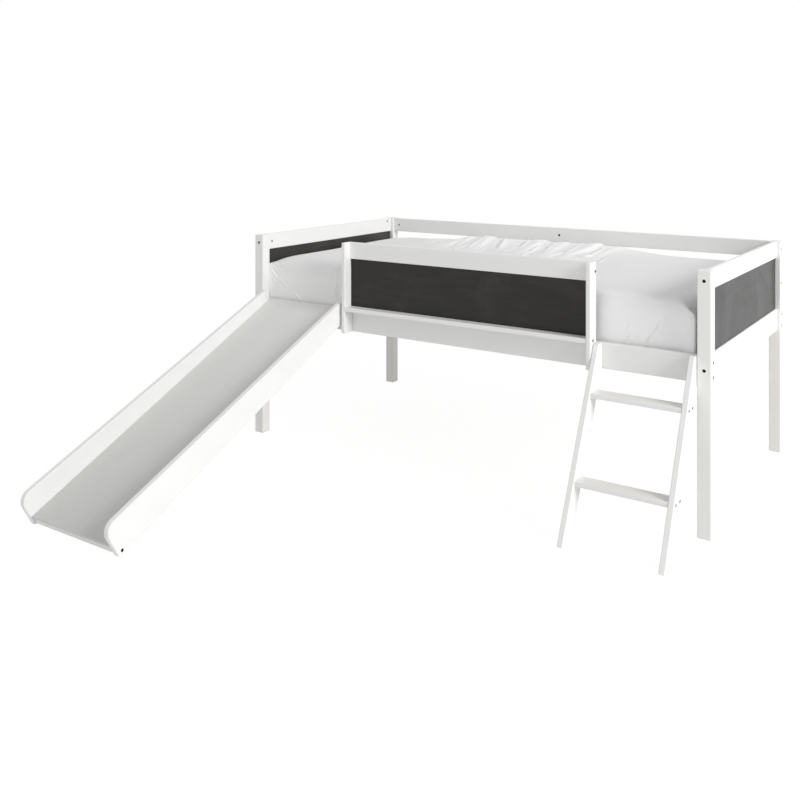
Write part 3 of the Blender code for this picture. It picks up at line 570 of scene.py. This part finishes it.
def apply_place(obj):
    select_only(obj)
    bpy.ops.object.transform_apply(location=True, rotation=True, scale=True)


def apply_modifier(obj, kind, **values):
    modifier = obj.modifiers.new(kind.lower(), kind)
    for name, value in values.items():
        setattr(modifier, name, value)
    select_only(obj)
    bpy.ops.object.modifier_apply(modifier=modifier.name)


def cut_away(obj, tool):
    """Cuts a tool's shape out of a piece and removes the tool."""
    apply_modifier(obj, "BOOLEAN", object=tool, solver="EXACT")
    bpy.data.objects.remove(tool, do_unlink=True)


def join_pieces(name, pieces):
    select_only(pieces[0])
    for piece in pieces:
        piece.select_set(True)
    bpy.ops.object.join()
    joined = bpy.context.object
    joined.name = joined.data.name = name
    return joined


def copy_of(pattern, matrix):
    """A copy with its own mesh, moved into place in its vertices."""
    copy = bpy.data.objects.new(pattern.name, pattern.data.copy())
    bpy.context.scene.collection.objects.link(copy)
    copy.data.transform(matrix)
    return copy


def smooth(obj):
    select_only(obj)
    bpy.ops.object.shade_smooth_by_angle(angle=SMOOTH_ANGLE)


def add_box(scale, location=(0, 0, 0), rotation=(0, 0, 0)):
    bpy.ops.mesh.primitive_cube_add(size=1, scale=scale, location=location, rotation=rotation)
    return bpy.context.object


def add_rod(sides, radius, depth, location=(0, 0, 0), rotation=(0, 0, 0)):
    bpy.ops.mesh.primitive_cylinder_add(vertices=sides, radius=radius, depth=depth, location=location,
                                        rotation=rotation)
    return bpy.context.object


def model_bolt(name, length):
    """A socket bolt along -Z: a low head with an eased rim and a six-sided socket, and its shank."""
    bolt = add_rod(ROUND_SIDES, HEAD_RADIUS, HEAD_THICKNESS, (0, 0, -HEAD_THICKNESS / 2))
    bolt.name = name
    apply_place(bolt)
    select_faces(bolt, lambda face: face.normal.z > FACING)
    bevel(HEAD_RIM, RIM_SEGMENTS)
    select_faces(bolt, lambda face: face.normal.z < -FACING)
    bpy.ops.mesh.inset(thickness=HEAD_RADIUS - SHANK_RADIUS)
    bpy.ops.mesh.extrude_region_move(TRANSFORM_OT_translate={"value": (0, 0, HEAD_THICKNESS - length)})
    end_edit()
    cut_away(bolt, add_rod(SOCKET_SIDES, SOCKET_RADIUS, 2 * SOCKET_DEPTH))
    smooth(bolt)
    return bolt


def model_nut(name):
    """A barrel nut along X, with a screwdriver slot in the end that shows, at +X."""
    nut = add_rod(ROUND_SIDES, NUT_RADIUS, NUT_LENGTH, rotation=(0, QUARTER, 0))
    nut.name = name
    apply_place(nut)
    select_faces(nut, lambda face: abs(face.normal.x) > FACING)
    bevel(NUT_RIM, RIM_SEGMENTS)
    cut_away(nut, add_box((2 * SLOT_DEPTH, SLOT_WIDTH, 3 * NUT_RADIUS), (NUT_LENGTH / 2, 0, 0)))
    smooth(nut)
    return nut


def facing(origin, direction, across):
    """Turns -Z to a direction and X across it."""
    up = -direction
    return Matrix.Translation(origin) @ Matrix((across, up.cross(across), up)).transposed().to_4x4()


def nut_way(name, number, centre):
    """Where the slotted end of a barrel nut faces: into the bed, or down under the ledge."""
    if name == "end_rail_bolt":
        return Vector((-1 if centre.x > 0 else 1, 0, 0))
    if name == "guard_bolt" and number in LEDGE_BOLTS:
        return Vector((0, 0, -1))
    return Vector((0, -1 if centre.y > BED_CENTRE_Y else 1, 0))


def node_bolt_places(name, count, along):
    """Where a group's bolts go, by the boxes of their solids: head, way in, nut's way, nut, length."""
    places = []
    middle = Vector((GUARD_CENTRE_X if name == "guard_bolt" else 0, BED_CENTRE_Y, 0))
    for number in range(1, count + 1):
        low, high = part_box(f"{name}_{number}")
        centre = (low + high) / 2
        length = (high - low)[along]
        outward = 1 if centre[along] > middle[along] else -1
        head = centre.copy()
        head[along] = high[along] if outward > 0 else low[along]
        direction = Vector([-outward if axis == along else 0 for axis in range(3)])
        nut = head + direction * (length - NUT_FROM_END)
        places.append((head, direction, nut_way(name, number, centre), nut, length))
    return places


def make_bolts_with_nuts():
    """The bolts that clamp rails to posts and to the guard's stiles, with their barrel nuts."""
    nut = model_nut("barrel_nut")
    for name, count, along in NUT_BOLTS:
        places = node_bolt_places(name, count, along)
        bolt = model_bolt(name, places[0][-1])
        pieces = []
        for head, direction, across, nut_place, _ in places:
            pieces.append(copy_of(bolt, facing(head, direction, across)))
            pieces.append(copy_of(nut, facing(nut_place, direction, across)))
        bpy.data.objects.remove(bolt)
        group = join_pieces(name + "s", pieces)
        dress(group, BLACK)
        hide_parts(*[f"{name}_{number}" for number in range(1, count + 1)])
    bpy.data.objects.remove(nut)


def make_recess_bolts():
    """The heads in the recesses of the ladder, the slide, the front rail and the back stile's rails."""
    bolt = model_bolt("recess_bolt", 2 * HEAD_THICKNESS)
    groups = [("ladder_tread_bolts", TREAD_BOLTS), ("front_rail_bolts", RAIL_BOLTS),
              ("slide_foot_bolts", SLIDE_FOOT_BOLTS), ("back_stile_bolts", BACK_STILE_BOLTS)]
    for name, places in groups:
        pieces = [copy_of(bolt, facing(point + direction * HEAD_RECESS, direction,
                                       direction.orthogonal().normalized())) for point, direction in places]
        dress(join_pieces(name, pieces), BLACK)
    bpy.data.objects.remove(bolt)


def place_pairs(pattern, along, offset, height, turn_at):
    """Copies on both sides of the bed's middle at places along it; the pattern itself goes."""
    pieces = []
    for x in along:
        for side in (-1, 1):
            spot = Matrix.Translation((x, BED_CENTRE_Y + side * offset, height))
            pieces.append(copy_of(pattern, spot @ Matrix.Rotation(turn_at(x, side), 4, "Z")))
    bpy.data.objects.remove(pattern)
    return pieces


def place_staples(first, last):
    """The staples that hold the two straps on the slats."""
    staple = add_box(STAPLE_SIZE)
    apply_place(staple)
    begin_edit(staple, "SELECT")
    bevel(STAPLE_RIM, 1)
    along = [first + (last - first) * index / (SLAT_COUNT - 1) for index in range(SLAT_COUNT)]
    height = WEB_TOP + STAPLE_PROUD - STAPLE_SIZE[2] / 2
    return place_pairs(staple, along, STRAP_OFFSET, height, lambda x, side: STAPLE_TURN * side)


def place_screws(first, last):
    """The cross-head screws of the first and last slat."""
    screw = add_rod(ROUND_SIDES, SCREW_RADIUS, 2 * SCREW_PROUD)
    for turn in (0, QUARTER):
        cut_away(screw, add_box(SCREW_CROSS, (0, 0, SCREW_PROUD), (0, 0, turn)))
    smooth(screw)
    return place_pairs(screw, (first, last), SCREW_OFFSET, SLAT_TOP, lambda x, side: SCREW_TURN * side + x)


def make_slat_fixings():
    low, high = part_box("slat_roll")
    ends = (low.x + SLAT_WIDTH / 2, high.x - SLAT_WIDTH / 2)
    dress(join_pieces("slat_fixings", place_staples(*ends) + place_screws(*ends)), ZINC)


def dress(piece, material):
    set_materials(piece, material)
    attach(piece, "frame")


# The fitted sheet over the mattress

SHEET_GRID = 0.026
SHEET_MERGE = 0.002
SHEET_CAP = 0.006
SHEET_START = 0.003
EDGE_ROUND = 0.020
EDGE_SEGMENTS = 3
UNDERSIDE = -0.7
CLOTH_FRAMES = 16
CLOTH_SETTINGS = {"quality": 4, "use_pressure": True, "uniform_pressure_force": 3.0, "tension_stiffness": 12,
                  "bending_stiffness": 0.3}
# The hem that wraps under: how high and how far in its gathers reach, their height, how closely they wind
HEM_HEIGHT = 0.01
HEM_EDGE = 0.02
HEM_GATHER = 0.0015
HEM_WINDING = 140
# What grows along the sheet does so from a start and over a run
TOP_GROWTH = (0.40, 0.45)
CROWN_RISE = 0.010
BACK_RISE = 0.010
BACK_RISE_GROWTH = (0.49, 0.50)
# Where the sheet's ends and sides lie, as it fills the bed
SHEET_ENDS = (-0.992, 0.955)
SHEET_SIDES = (0.0475, 1.046)
# How the corners and the front edge of the top are rounder or tighter than the block's: cell, from, to
LEFT_CORNER = (0.045, 2.0, 6.5)
RIGHT_CORNER = (0.045, 2.0, 5.5)
FRONT_ROLL = (0.060, 3.5, 2.3)
ROLL_GROWTH = (0.04, 0.16)
# The left end slopes down: where it starts, and how much it drops; above the rail it leans on the chalkboard
END_SLOPE_START = -0.78
END_SLOPE_DROP = 0.013
END_LEAN = 0.005
LEAN_HEIGHT = (0.620, 0.025)
LEAN_GROWTH = (-0.05, 0.04)
# Folds on the top, in X and Y, in millimetres: from, to, height; gentle on their left, steep on their right
FOLD_LEFT = 0.065
FOLD_RIGHT = 0.024
FOLD_GROWTH = (-0.35, 0.9)
TOP_FOLDS = from_millimetres([
    ((-600, 740), (-610, 1040), 5), ((-450, 660), (-455, 1040), 10),
    ((-275, 660), (-350, 1040), 12), ((-165, 700), (-240, 1040), 5),
    ((-20, 660), (-60, 1040), 11), ((95, 620), (60, 1040), 8),
    ((205, 600), (215, 1040), 13), ((315, 620), (345, 1040), 7),
])
# The rise at the back edge: where it starts and ends along X, the width of its slopes, its height
BACK_RIDGE = (-0.50, 0.43, 0.10, 0.025)
BACK_RIDGE_GROWTH = (0.72, 0.26)
# Broad unevenness of the top: place, reach along X and Y, height
TOP_SWELLS = [((0.45, 0.48), (0.22, 0.25), 0.004), ((-0.60, 0.45), (0.25, 0.25), 0.003),
              ((-0.10, 0.36), (0.30, 0.18), -0.003)]
# Corners of the top that the sheet pulls down: place, reach, drop
PULLED_CORNERS = [((-0.99, 0.05), 0.080, 0.015), ((-0.98, 1.04), 0.080, 0.006),
                  ((0.965, 0.06), 0.050, 0.022), ((0.960, 0.076), 0.034, 0.040), ((0.95, 1.04), 0.080, 0.010)]
# How far creases and folds wander, how closely they wind, and where in the noise they look
CREASE_WANDER = 0.006
CREASE_WINDING = 28.0
CREASE_SEED = 1.0
FOLD_WANDER = 0.018
FOLD_WINDING = 7.0
FOLD_SEED = 2.0
SECOND_NOISE = Vector((31.0, 17.0, 5.0))
# Which points lie on the front face or the top, and how deep behind the front a crease may lie
CREASE_FACING = 0.5
FRONT_DEPTH = 0.03
# A crease's fading tails as a share of its length; its reach and its valley, by its width and height
CREASE_TAIL = 0.15
CREASE_REACH = 5
VALLEY_DEPTH = 0.55
VALLEY_OFFSET = 2.0
VALLEY_WIDTH = 1.3
# Creases of the front face, in X and Z, in millimetres: from, to, width, height
FRONT_CREASES = from_millimetres([
    ((-964, 734), (-938, 704), 4.8, 3.0), ((-955, 752), (-930, 728), 4.5, 1.8),
    ((-958, 704), (-944, 684), 4.2, 2.2), ((-936, 748), (-912, 738), 4.5, 1.2),
    ((-896, 688), (-878, 668), 4.4, 2.4), ((-862, 704), (-852, 676), 4.5, 1.4),
    ((-826, 640), (-796, 612), 5.0, 3.6), ((-806, 644), (-792, 628), 4.0, 2.0),
    ((-980, 715), (-974, 640), 5.0, 1.8), ((-771, 744), (-757, 705), 5.0, 1.0),
    ((-700, 740), (-694, 690), 6.0, 1.0), ((-650, 780), (-640, 700), 6.5, 1.8),
    ((-616, 785), (-606, 690), 7.5, -4.0), ((-590, 790), (-580, 625), 9.5, -8.0),
    ((-566, 775), (-562, 650), 9.0, -5.0), ((791, 628), (836, 688), 4.4, 3.4),
    ((806, 648), (832, 666), 3.8, 2.4), ((704, 612), (734, 645), 4.2, 2.8),
    ((717, 660), (729, 678), 3.8, 2.2), ((770, 604), (790, 622), 3.8, 2.2),
    ((856, 708), (864, 742), 4.2, 2.2), ((812, 612), (836, 640), 4.0, 2.0),
    ((918, 735), (930, 630), 8.0, 2.0),
])
# Creases between the folds of the top, in X and Y, in millimetres: from, to, width, height
TOP_CREASES = from_millimetres([
    ((-540, 800), (-560, 980), 10.0, 2.6), ((-490, 660), (-480, 800), 7.0, 3.4),
    ((-405, 740), (-440, 970), 11.0, 4.2), ((-345, 630), (-350, 760), 7.0, 4.6),
    ((-310, 700), (-370, 1000), 8.0, 4.8), ((-215, 600), (-235, 740), 7.0, 5.0),
    ((-175, 760), (-255, 980), 10.0, 5.0), ((-105, 660), (-100, 820), 7.5, 4.2),
    ((-80, 800), (-130, 1000), 8.5, 4.6), ((22, 580), (-10, 860), 9.5, 6.2),
    ((65, 760), (20, 960), 7.0, 3.8), ((145, 540), (150, 760), 9.5, 6.8),
    ((180, 720), (150, 1000), 8.0, 4.8), ((265, 560), (300, 720), 8.0, 5.4),
    ((300, 660), (280, 950), 10.5, 5.8), ((395, 580), (370, 720), 8.0, 3.0),
])
# Patches of fine crumpling: middle, reach, lean of the crumples in degrees, height
FRONT_CRUMPLES = [((0.78, 0.655), (0.12, 0.055), 52, 0.0010), ((-0.91, 0.69), (0.07, 0.06), -48, 0.0010),
                  ((-0.59, 0.71), (0.05, 0.08), 86, 0.0013), ((-0.74, 0.67), (0.09, 0.08), -70, 0.0007)]
TOP_CRUMPLES = [((-0.08, 0.84), (0.40, 0.18), 84, 0.0016)]
CRUMPLES_ALONG = 9.0
CRUMPLES_ACROSS = 30.0
CRUMPLES_APART = 4.0
CRUMPLE_EDGE = 0.16
CRUMPLE_LEAST = 0.02
# How crumples break off along their ridges
BREAK_WINDING = 1.7
BREAK_NOISE = Vector((9.0, 3.0, 1.0))
BREAK_BASE = 0.3
BREAK_CONTRAST = 2.2
# Where the sheet's folds and creases show, so that its mesh is finer there: from, to
FINE_FACING = 0.6
FINE_FRONT = [((-1.00, 0.585), (-0.47, 0.775)), ((0.60, 0.585), (0.97, 0.775))]
FINE_TOP = ((-0.68, 0.42), (0.50, 1.035))
FRONT_CUTS = 3
TOP_CUTS = 2


def ramp(value, start, run):
    """A share that grows from 0 at a start to 1 a run further on."""
    return max(0.0, min(1.0, (value - start) / run))


def ease(share):
    """A share with a soft start and end."""
    return share * share * (3 - 2 * share)


def bell(distance, reach):
    """1 at no distance, fading smoothly away with a reach."""
    return math.exp(-(distance / reach) ** 2)


def patch_fade(point, middle, reach):
    """A bell along both axes of the plane."""
    return bell(point.x - middle[0], reach[0]) * bell(point.y - middle[1], reach[1])


def along_and_across(point, start, end):
    """How far a point of the plane is along a line, as a share, and how far to its right."""
    start, end = Vector(start), Vector(end)
    run = end - start
    away = point - start
    share = away.dot(run) / run.length_squared
    across = (away.x * run.y - away.y * run.x) / run.length
    return share, across


def fold_lift(point, start, end, height):
    """The lift of a fold that starts flat at its near end and is full from its middle on."""
    share, across = along_and_across(point, start, end)
    return height * bell(across, FOLD_RIGHT if across > 0 else FOLD_LEFT) * ease(ramp(share, *FOLD_GROWTH))


def crease_lift(point, start, end, width, height):
    """A small ridge with a shallow valley beside it, fading at both ends."""
    share, across = along_and_across(point, start, end)
    if not -CREASE_TAIL < share < 1 + CREASE_TAIL or abs(across) > CREASE_REACH * width:
        return 0.0
    fade = min(ramp(end_share, -CREASE_TAIL, 2 * CREASE_TAIL) for end_share in (share, 1 - share))
    valley = VALLEY_DEPTH * bell(across + VALLEY_OFFSET * width, VALLEY_WIDTH * width)
    return height * (bell(across, width) - valley) * ease(fade)


def wander(point, seed, distance, winding):
    """A point moved a little by smooth noise, so that what is drawn through it isn't straight."""
    place = Vector((point.x * winding, point.y * winding, seed))
    shift = Vector((noise.noise(place), noise.noise(place + SECOND_NOISE)))
    return point + shift * distance


def crumple_lift(point, middle, reach, lean, height):
    """Short broken ridges, longer along their lean, fading away from the middle of their patch."""
    fade = patch_fade(point, middle, reach)
    if fade < CRUMPLE_LEAST:
        return 0.0
    away = point - Vector(middle)
    turn = math.radians(lean)
    along = away.x * math.cos(turn) + away.y * math.sin(turn)
    across = away.y * math.cos(turn) - away.x * math.sin(turn)
    place = Vector((along * CRUMPLES_ALONG, across * CRUMPLES_ACROSS, lean * CRUMPLES_APART))
    ridge = bell(noise.noise(place), CRUMPLE_EDGE)
    broken = BREAK_BASE + BREAK_CONTRAST * noise.noise(place * BREAK_WINDING + BREAK_NOISE)
    return height * fade * ridge * max(0.0, min(1.0, broken))


def round_off(first, second, corner, way, cell, sharp_from, sharp_to):
    """Changes how square a corner of two coordinates is, inside a cell beside it."""
    across = 1 - (first - corner[0]) * way[0] / cell
    up = 1 - (second - corner[1]) * way[1] / cell
    reach = math.hypot(across, up)
    if across <= 0 or up <= 0 or reach < 1e-6:
        return first, second
    cosine, sine = across / reach, up / reach
    grow = ((cosine ** sharp_from + sine ** sharp_from) ** (1 / sharp_from)
            / (cosine ** sharp_to + sine ** sharp_to) ** (1 / sharp_to))
    return (corner[0] + (1 - across * grow) * cell * way[0], corner[1] + (1 - up * grow) * cell * way[1])


def cut_into_grid(obj, low, high):
    """Even rows of cuts across a block, along all three axes."""
    begin_edit(obj, "SELECT")
    for axis in range(3):
        steps = round((high[axis] - low[axis]) / SHEET_GRID)
        normal = [1 if index == axis else 0 for index in range(3)]
        for step in range(1, steps):
            point = low.copy()
            point[axis] += (high[axis] - low[axis]) * step / steps
            bpy.ops.mesh.select_all(action="SELECT")
            bpy.ops.mesh.bisect(plane_co=point, plane_no=normal)
    bpy.ops.mesh.select_all(action="SELECT")
    bpy.ops.mesh.remove_doubles(threshold=SHEET_MERGE)
    end_edit()


def model_sheet_block(low, high):
    """The block of the mattress, with rounded edges, in even rows."""
    size = high - low - Vector((2, 2, 2)) * SHEET_START
    size.z = MATTRESS_EDGE_TOP - low.z - 2 * SHEET_START
    centre = (low + high) / 2
    centre.z = low.z + SHEET_START + size.z / 2
    block = add_box(size, centre)
    block.name = block.data.name = "fitted_sheet"
    apply_place(block)
    begin_edit(block, "SELECT")
    bevel(EDGE_ROUND, EDGE_SEGMENTS)
    cut_into_grid(block, centre - size / 2, centre + size / 2)
    return block


def puff_out(piece):
    """Lets the sheet puff out like cloth over foam, by a cloth run under slight pressure, within a cap."""
    before = [vertex.co.copy() for vertex in piece.data.vertices]
    select_only(piece)
    cloth = piece.modifiers.new("cloth", "CLOTH")
    for name, value in CLOTH_SETTINGS.items():
        setattr(cloth.settings, name, value)
    cloth.settings.effector_weights.gravity = 0.0
    cloth.collision_settings.use_collision = False
    cloth.collision_settings.use_self_collision = False
    scene = bpy.context.scene
    scene.frame_start, scene.frame_end = 1, CLOTH_FRAMES
    for number in range(1, CLOTH_FRAMES + 1):
        scene.frame_set(number)
    bpy.ops.object.modifier_apply(modifier=cloth.name)
    scene.frame_set(1)
    for vertex, start in zip(piece.data.vertices, before):
        moved = vertex.co - start
        if moved.length > SHEET_CAP:
            vertex.co = start + moved.normalized() * SHEET_CAP


def subdivide_faces(obj, wanted, cuts):
    select_faces(obj, wanted)
    bpy.ops.mesh.subdivide(number_cuts=cuts, smoothness=0.0)
    end_edit()


def within(first, second, corners):
    """Whether two coordinates lie between two corners."""
    (low_first, low_second), (high_first, high_second) = corners
    return low_first < first < high_first and low_second < second < high_second


def refine(piece):
    """Finer faces where folds and creases show."""
    for corners in FINE_FRONT:
        subdivide_faces(piece, lambda face: face.normal.y < -FINE_FACING and within(
            face.center.x, face.center.z, corners), FRONT_CUTS)
    subdivide_faces(piece, lambda face: face.normal.z > FINE_FACING and within(
        face.center.x, face.center.y - FRONT_Y, FINE_TOP), TOP_CUTS)


def make_sheet():
    low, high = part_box("mattress")
    low.x, high.x = SHEET_ENDS
    low.y, high.y = (side + FRONT_Y for side in SHEET_SIDES)
    piece = model_sheet_block(low, high)
    puff_out(piece)
    apply_modifier(piece, "SUBSURF", levels=1, render_levels=1)
    refine(piece)
    fill_out(piece, low, high)
    shape_edges(piece, low, high)
    shape_top(piece, low, high)
    crease_sheet(piece, low)
    seat_sheet(piece, low)
    piece.data.shade_smooth()
    set_materials(piece, SHEET, TICKING)
    for face in piece.data.polygons:
        inside = distance_to_side(face.center, low, high) > HEM_DEPTH
        face.material_index = 1 if face.normal.z < UNDERSIDE and inside else 0
    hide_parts("mattress")
    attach(piece, "mattress")


def distance_to_side(place, low, high):
    return min(place.x - low.x, high.x - place.x, place.y - low.y, high.y - place.y)


def fill_out(piece, low, high):
    """Stretches the puffed sheet so that its ends and sides reach their places again."""
    for axis in (0, 1):
        places = [vertex.co[axis] for vertex in piece.data.vertices]
        first, last = min(places), max(places)
        scale = (high[axis] - low[axis]) / (last - first)
        for vertex in piece.data.vertices:
            vertex.co[axis] = low[axis] + (vertex.co[axis] - first) * scale


def shape_edges(piece, low, high):
    """A tight left front corner, a round right one, and a front edge of the top that rolls over."""
    for vertex in piece.data.vertices:
        place = vertex.co
        place.x, place.y = round_off(place.x, place.y, (low.x, low.y), (1, 1), *LEFT_CORNER)
        place.x, place.y = round_off(place.x, place.y, (high.x, low.y), (-1, 1), *RIGHT_CORNER)
        y, z = round_off(place.y, place.z, (low.y, MATTRESS_EDGE_TOP), (1, -1), *FRONT_ROLL)
        share = ramp(place.x - low.x, *ROLL_GROWTH)
        place.y += (y - place.y) * share
        place.z += (z - place.z) * share
        place.x -= END_LEAN * ramp(place.z, *LEAN_HEIGHT) * ramp(low.x - place.x, *LEAN_GROWTH)


def top_lift(plan, across, deep):
    """How far the top rises: its crown, the rise and the ridge at the back, folds and swells."""
    lift = CROWN_RISE * (1 - across ** 4) * (1 - deep ** 4) + BACK_RISE * ramp(plan.y, *BACK_RISE_GROWTH)
    ridge_start, ridge_end, slope, height = BACK_RIDGE
    ridge = (math.tanh((plan.x - ridge_start) / slope) - math.tanh((plan.x - ridge_end) / slope)) / 2
    lift += height * ridge * ramp(plan.y, *BACK_RIDGE_GROWTH) ** 1.5
    spot = wander(plan, FOLD_SEED, FOLD_WANDER, FOLD_WINDING)
    lift += sum(fold_lift(spot, *fold) for fold in TOP_FOLDS)
    return lift + sum(height * patch_fade(plan, middle, reach) for middle, reach, height in TOP_SWELLS)


def shape_top(piece, low, high):
    """Lifts the top and pulls down its corners and its left end, and gathers the hem underneath."""
    middle = (low.z + high.z) / 2
    centre = (low + high) / 2
    for vertex in piece.data.vertices:
        place = vertex.co
        if place.z <= middle:
            if place.z < low.z + HEM_HEIGHT and HEM_EDGE < distance_to_side(place, low, high) < HEM_DEPTH:
                place.z += HEM_GATHER * (1 + math.sin(HEM_WINDING * (place.x + place.y)))
            continue
        plan = Vector((place.x, place.y - FRONT_Y))
        share = (place.z - middle) / (MATTRESS_EDGE_TOP - middle)
        across = (place.x - centre.x) / (high.x - centre.x)
        deep = (place.y - centre.y) / (high.y - centre.y)
        drop = sum(depth * bell((plan - Vector(corner)).length, reach)
                   for corner, reach, depth in PULLED_CORNERS)
        slope = max(0.0, (END_SLOPE_START - plan.x) / (END_SLOPE_START - low.x))
        place.z += (top_lift(plan, across, deep) * ramp(share, *TOP_GROWTH)
                    - (drop + END_SLOPE_DROP * slope * slope) * share)


def crease_sheet(piece, low):
    """Fine creases and crumples where the front face and the top show them."""
    normals = [vertex.normal.copy() for vertex in piece.data.vertices]
    for vertex, normal in zip(piece.data.vertices, normals):
        place = vertex.co
        on_front = normal.y < -CREASE_FACING and place.y < low.y + FRONT_DEPTH
        if on_front:
            spot = Vector((place.x, place.z))
            creases, crumples = FRONT_CREASES, FRONT_CRUMPLES
        elif normal.z > CREASE_FACING:
            spot = Vector((place.x, place.y - FRONT_Y))
            creases, crumples = TOP_CREASES, TOP_CRUMPLES
        else:
            continue
        wound = wander(spot, CREASE_SEED, CREASE_WANDER, CREASE_WINDING)
        lift = sum(crease_lift(wound, *crease) for crease in creases)
        lift += sum(crumple_lift(spot, *crumple) for crumple in crumples)
        if on_front:
            place.y -= lift
        else:
            place.z += lift


def seat_sheet(piece, low):
    """Keeps the sheet on the slats and inside the rails."""
    for vertex in piece.data.vertices:
        vertex.co.z = max(vertex.co.z, low.z)
        vertex.co.y = max(SHEET_FRONT, min(SHEET_BACK, vertex.co.y))


# Floor, light and camera

FLOOR_SIZE = 60
FLOOR_DROP = 0.0005
FLOOR_GLOW_SHARE = 0.92
FLOOR_GLOW = 1.035
ROOM_LIGHT = (0.60, 1.0)
WHITE = (1, 1, 1)
LAMP_DISTANCE = 12.0
LAMP_AIM = Vector((0, 0, 0.5))
# Broad soft lamps: name, the way they shine, size, power
LAMPS = [("window", (-0.47, 0.085, -0.21), 4.6, 850), ("fill", (-0.50, 0.85, -0.20), 8.0, 25)]
CAMERA_PLACE = bed_point(1.9001, -3.1380, 1.3523)
CAMERA_TURN = math.radians(34.116)
CAMERA_LENS = 41.72
CAMERA_SHIFT = -0.3305


def seen_directly(tree, place):
    """One for the camera and for reflections, nothing for the light that falls on the bed."""
    path = add_node(tree, "ShaderNodeLightPath", (-800, 0)).outputs
    return add_math(tree, "MAXIMUM", place, path["Is Camera Ray"], path["Is Glossy Ray"])


def add_floor():
    bpy.ops.mesh.primitive_plane_add(size=FLOOR_SIZE, location=(0, 0, -FLOOR_DROP))
    floor = bpy.context.object
    floor.name = "floor"
    material, tree, shader = new_material("pale_floor", (0.93, 0.93, 0.93), 0.9, Specular_IOR_Level=0.1)
    seen = add_math(tree, "MULTIPLY", (-300, 400), seen_directly(tree, (-400, 500)), FLOOR_GLOW_SHARE)
    glow = add_node(tree, "ShaderNodeEmission", (-300, 200), Color=WHITE, Strength=FLOOR_GLOW)
    mix = add_node(tree, "ShaderNodeMixShader", (300, 200))
    for socket, value in zip(mix.inputs, (seen, shader.outputs[0], glow.outputs[0])):
        feed(tree, socket, value)
    set_sockets(tree, tree.nodes["Material Output"], Surface=mix.outputs[0])
    floor.data.materials.append(material)


def add_world():
    """Even pale surroundings, white where the camera or a reflection sees them."""
    world = bpy.data.worlds.new("studio")
    bpy.context.scene.world = world
    world.use_nodes = True
    tree = world.node_tree
    strength = remap(tree, (-300, 0), seen_directly(tree, (-500, 0)), new=ROOM_LIGHT)
    set_sockets(tree, tree.nodes["Background"], Color=WHITE, Strength=strength)


def add_lamp(name, direction, size, power):
    lamp = bpy.data.lights.new(name, "AREA")
    lamp.shape = "DISK"
    lamp.size = size
    lamp.energy = power
    obj = bpy.data.objects.new(name, lamp)
    way = Vector(direction).normalized()
    obj.location = LAMP_AIM - way * LAMP_DISTANCE
    obj.rotation_euler = way.to_track_quat("-Z", "Y").to_euler()
    bpy.context.scene.collection.objects.link(obj)


def add_camera():
    """The photograph's camera: level, turned to the bed's left end, its frame shifted down."""
    camera = bpy.data.cameras.new("camera")
    camera.lens = CAMERA_LENS
    camera.shift_y = CAMERA_SHIFT
    obj = bpy.data.objects.new("camera", camera)
    obj.location = CAMERA_PLACE
    obj.rotation_euler = (QUARTER, 0, CAMERA_TURN)
    bpy.context.scene.collection.objects.link(obj)
    bpy.context.scene.camera = obj


finish_cad_nodes()
make_bolts_with_nuts()
make_recess_bolts()
make_slat_fixings()
make_sheet()
add_floor()
add_world()
for lamp_values in LAMPS:
    add_lamp(*lamp_values)
add_camera()
bpy.context.scene.view_settings.view_transform = "Standard"
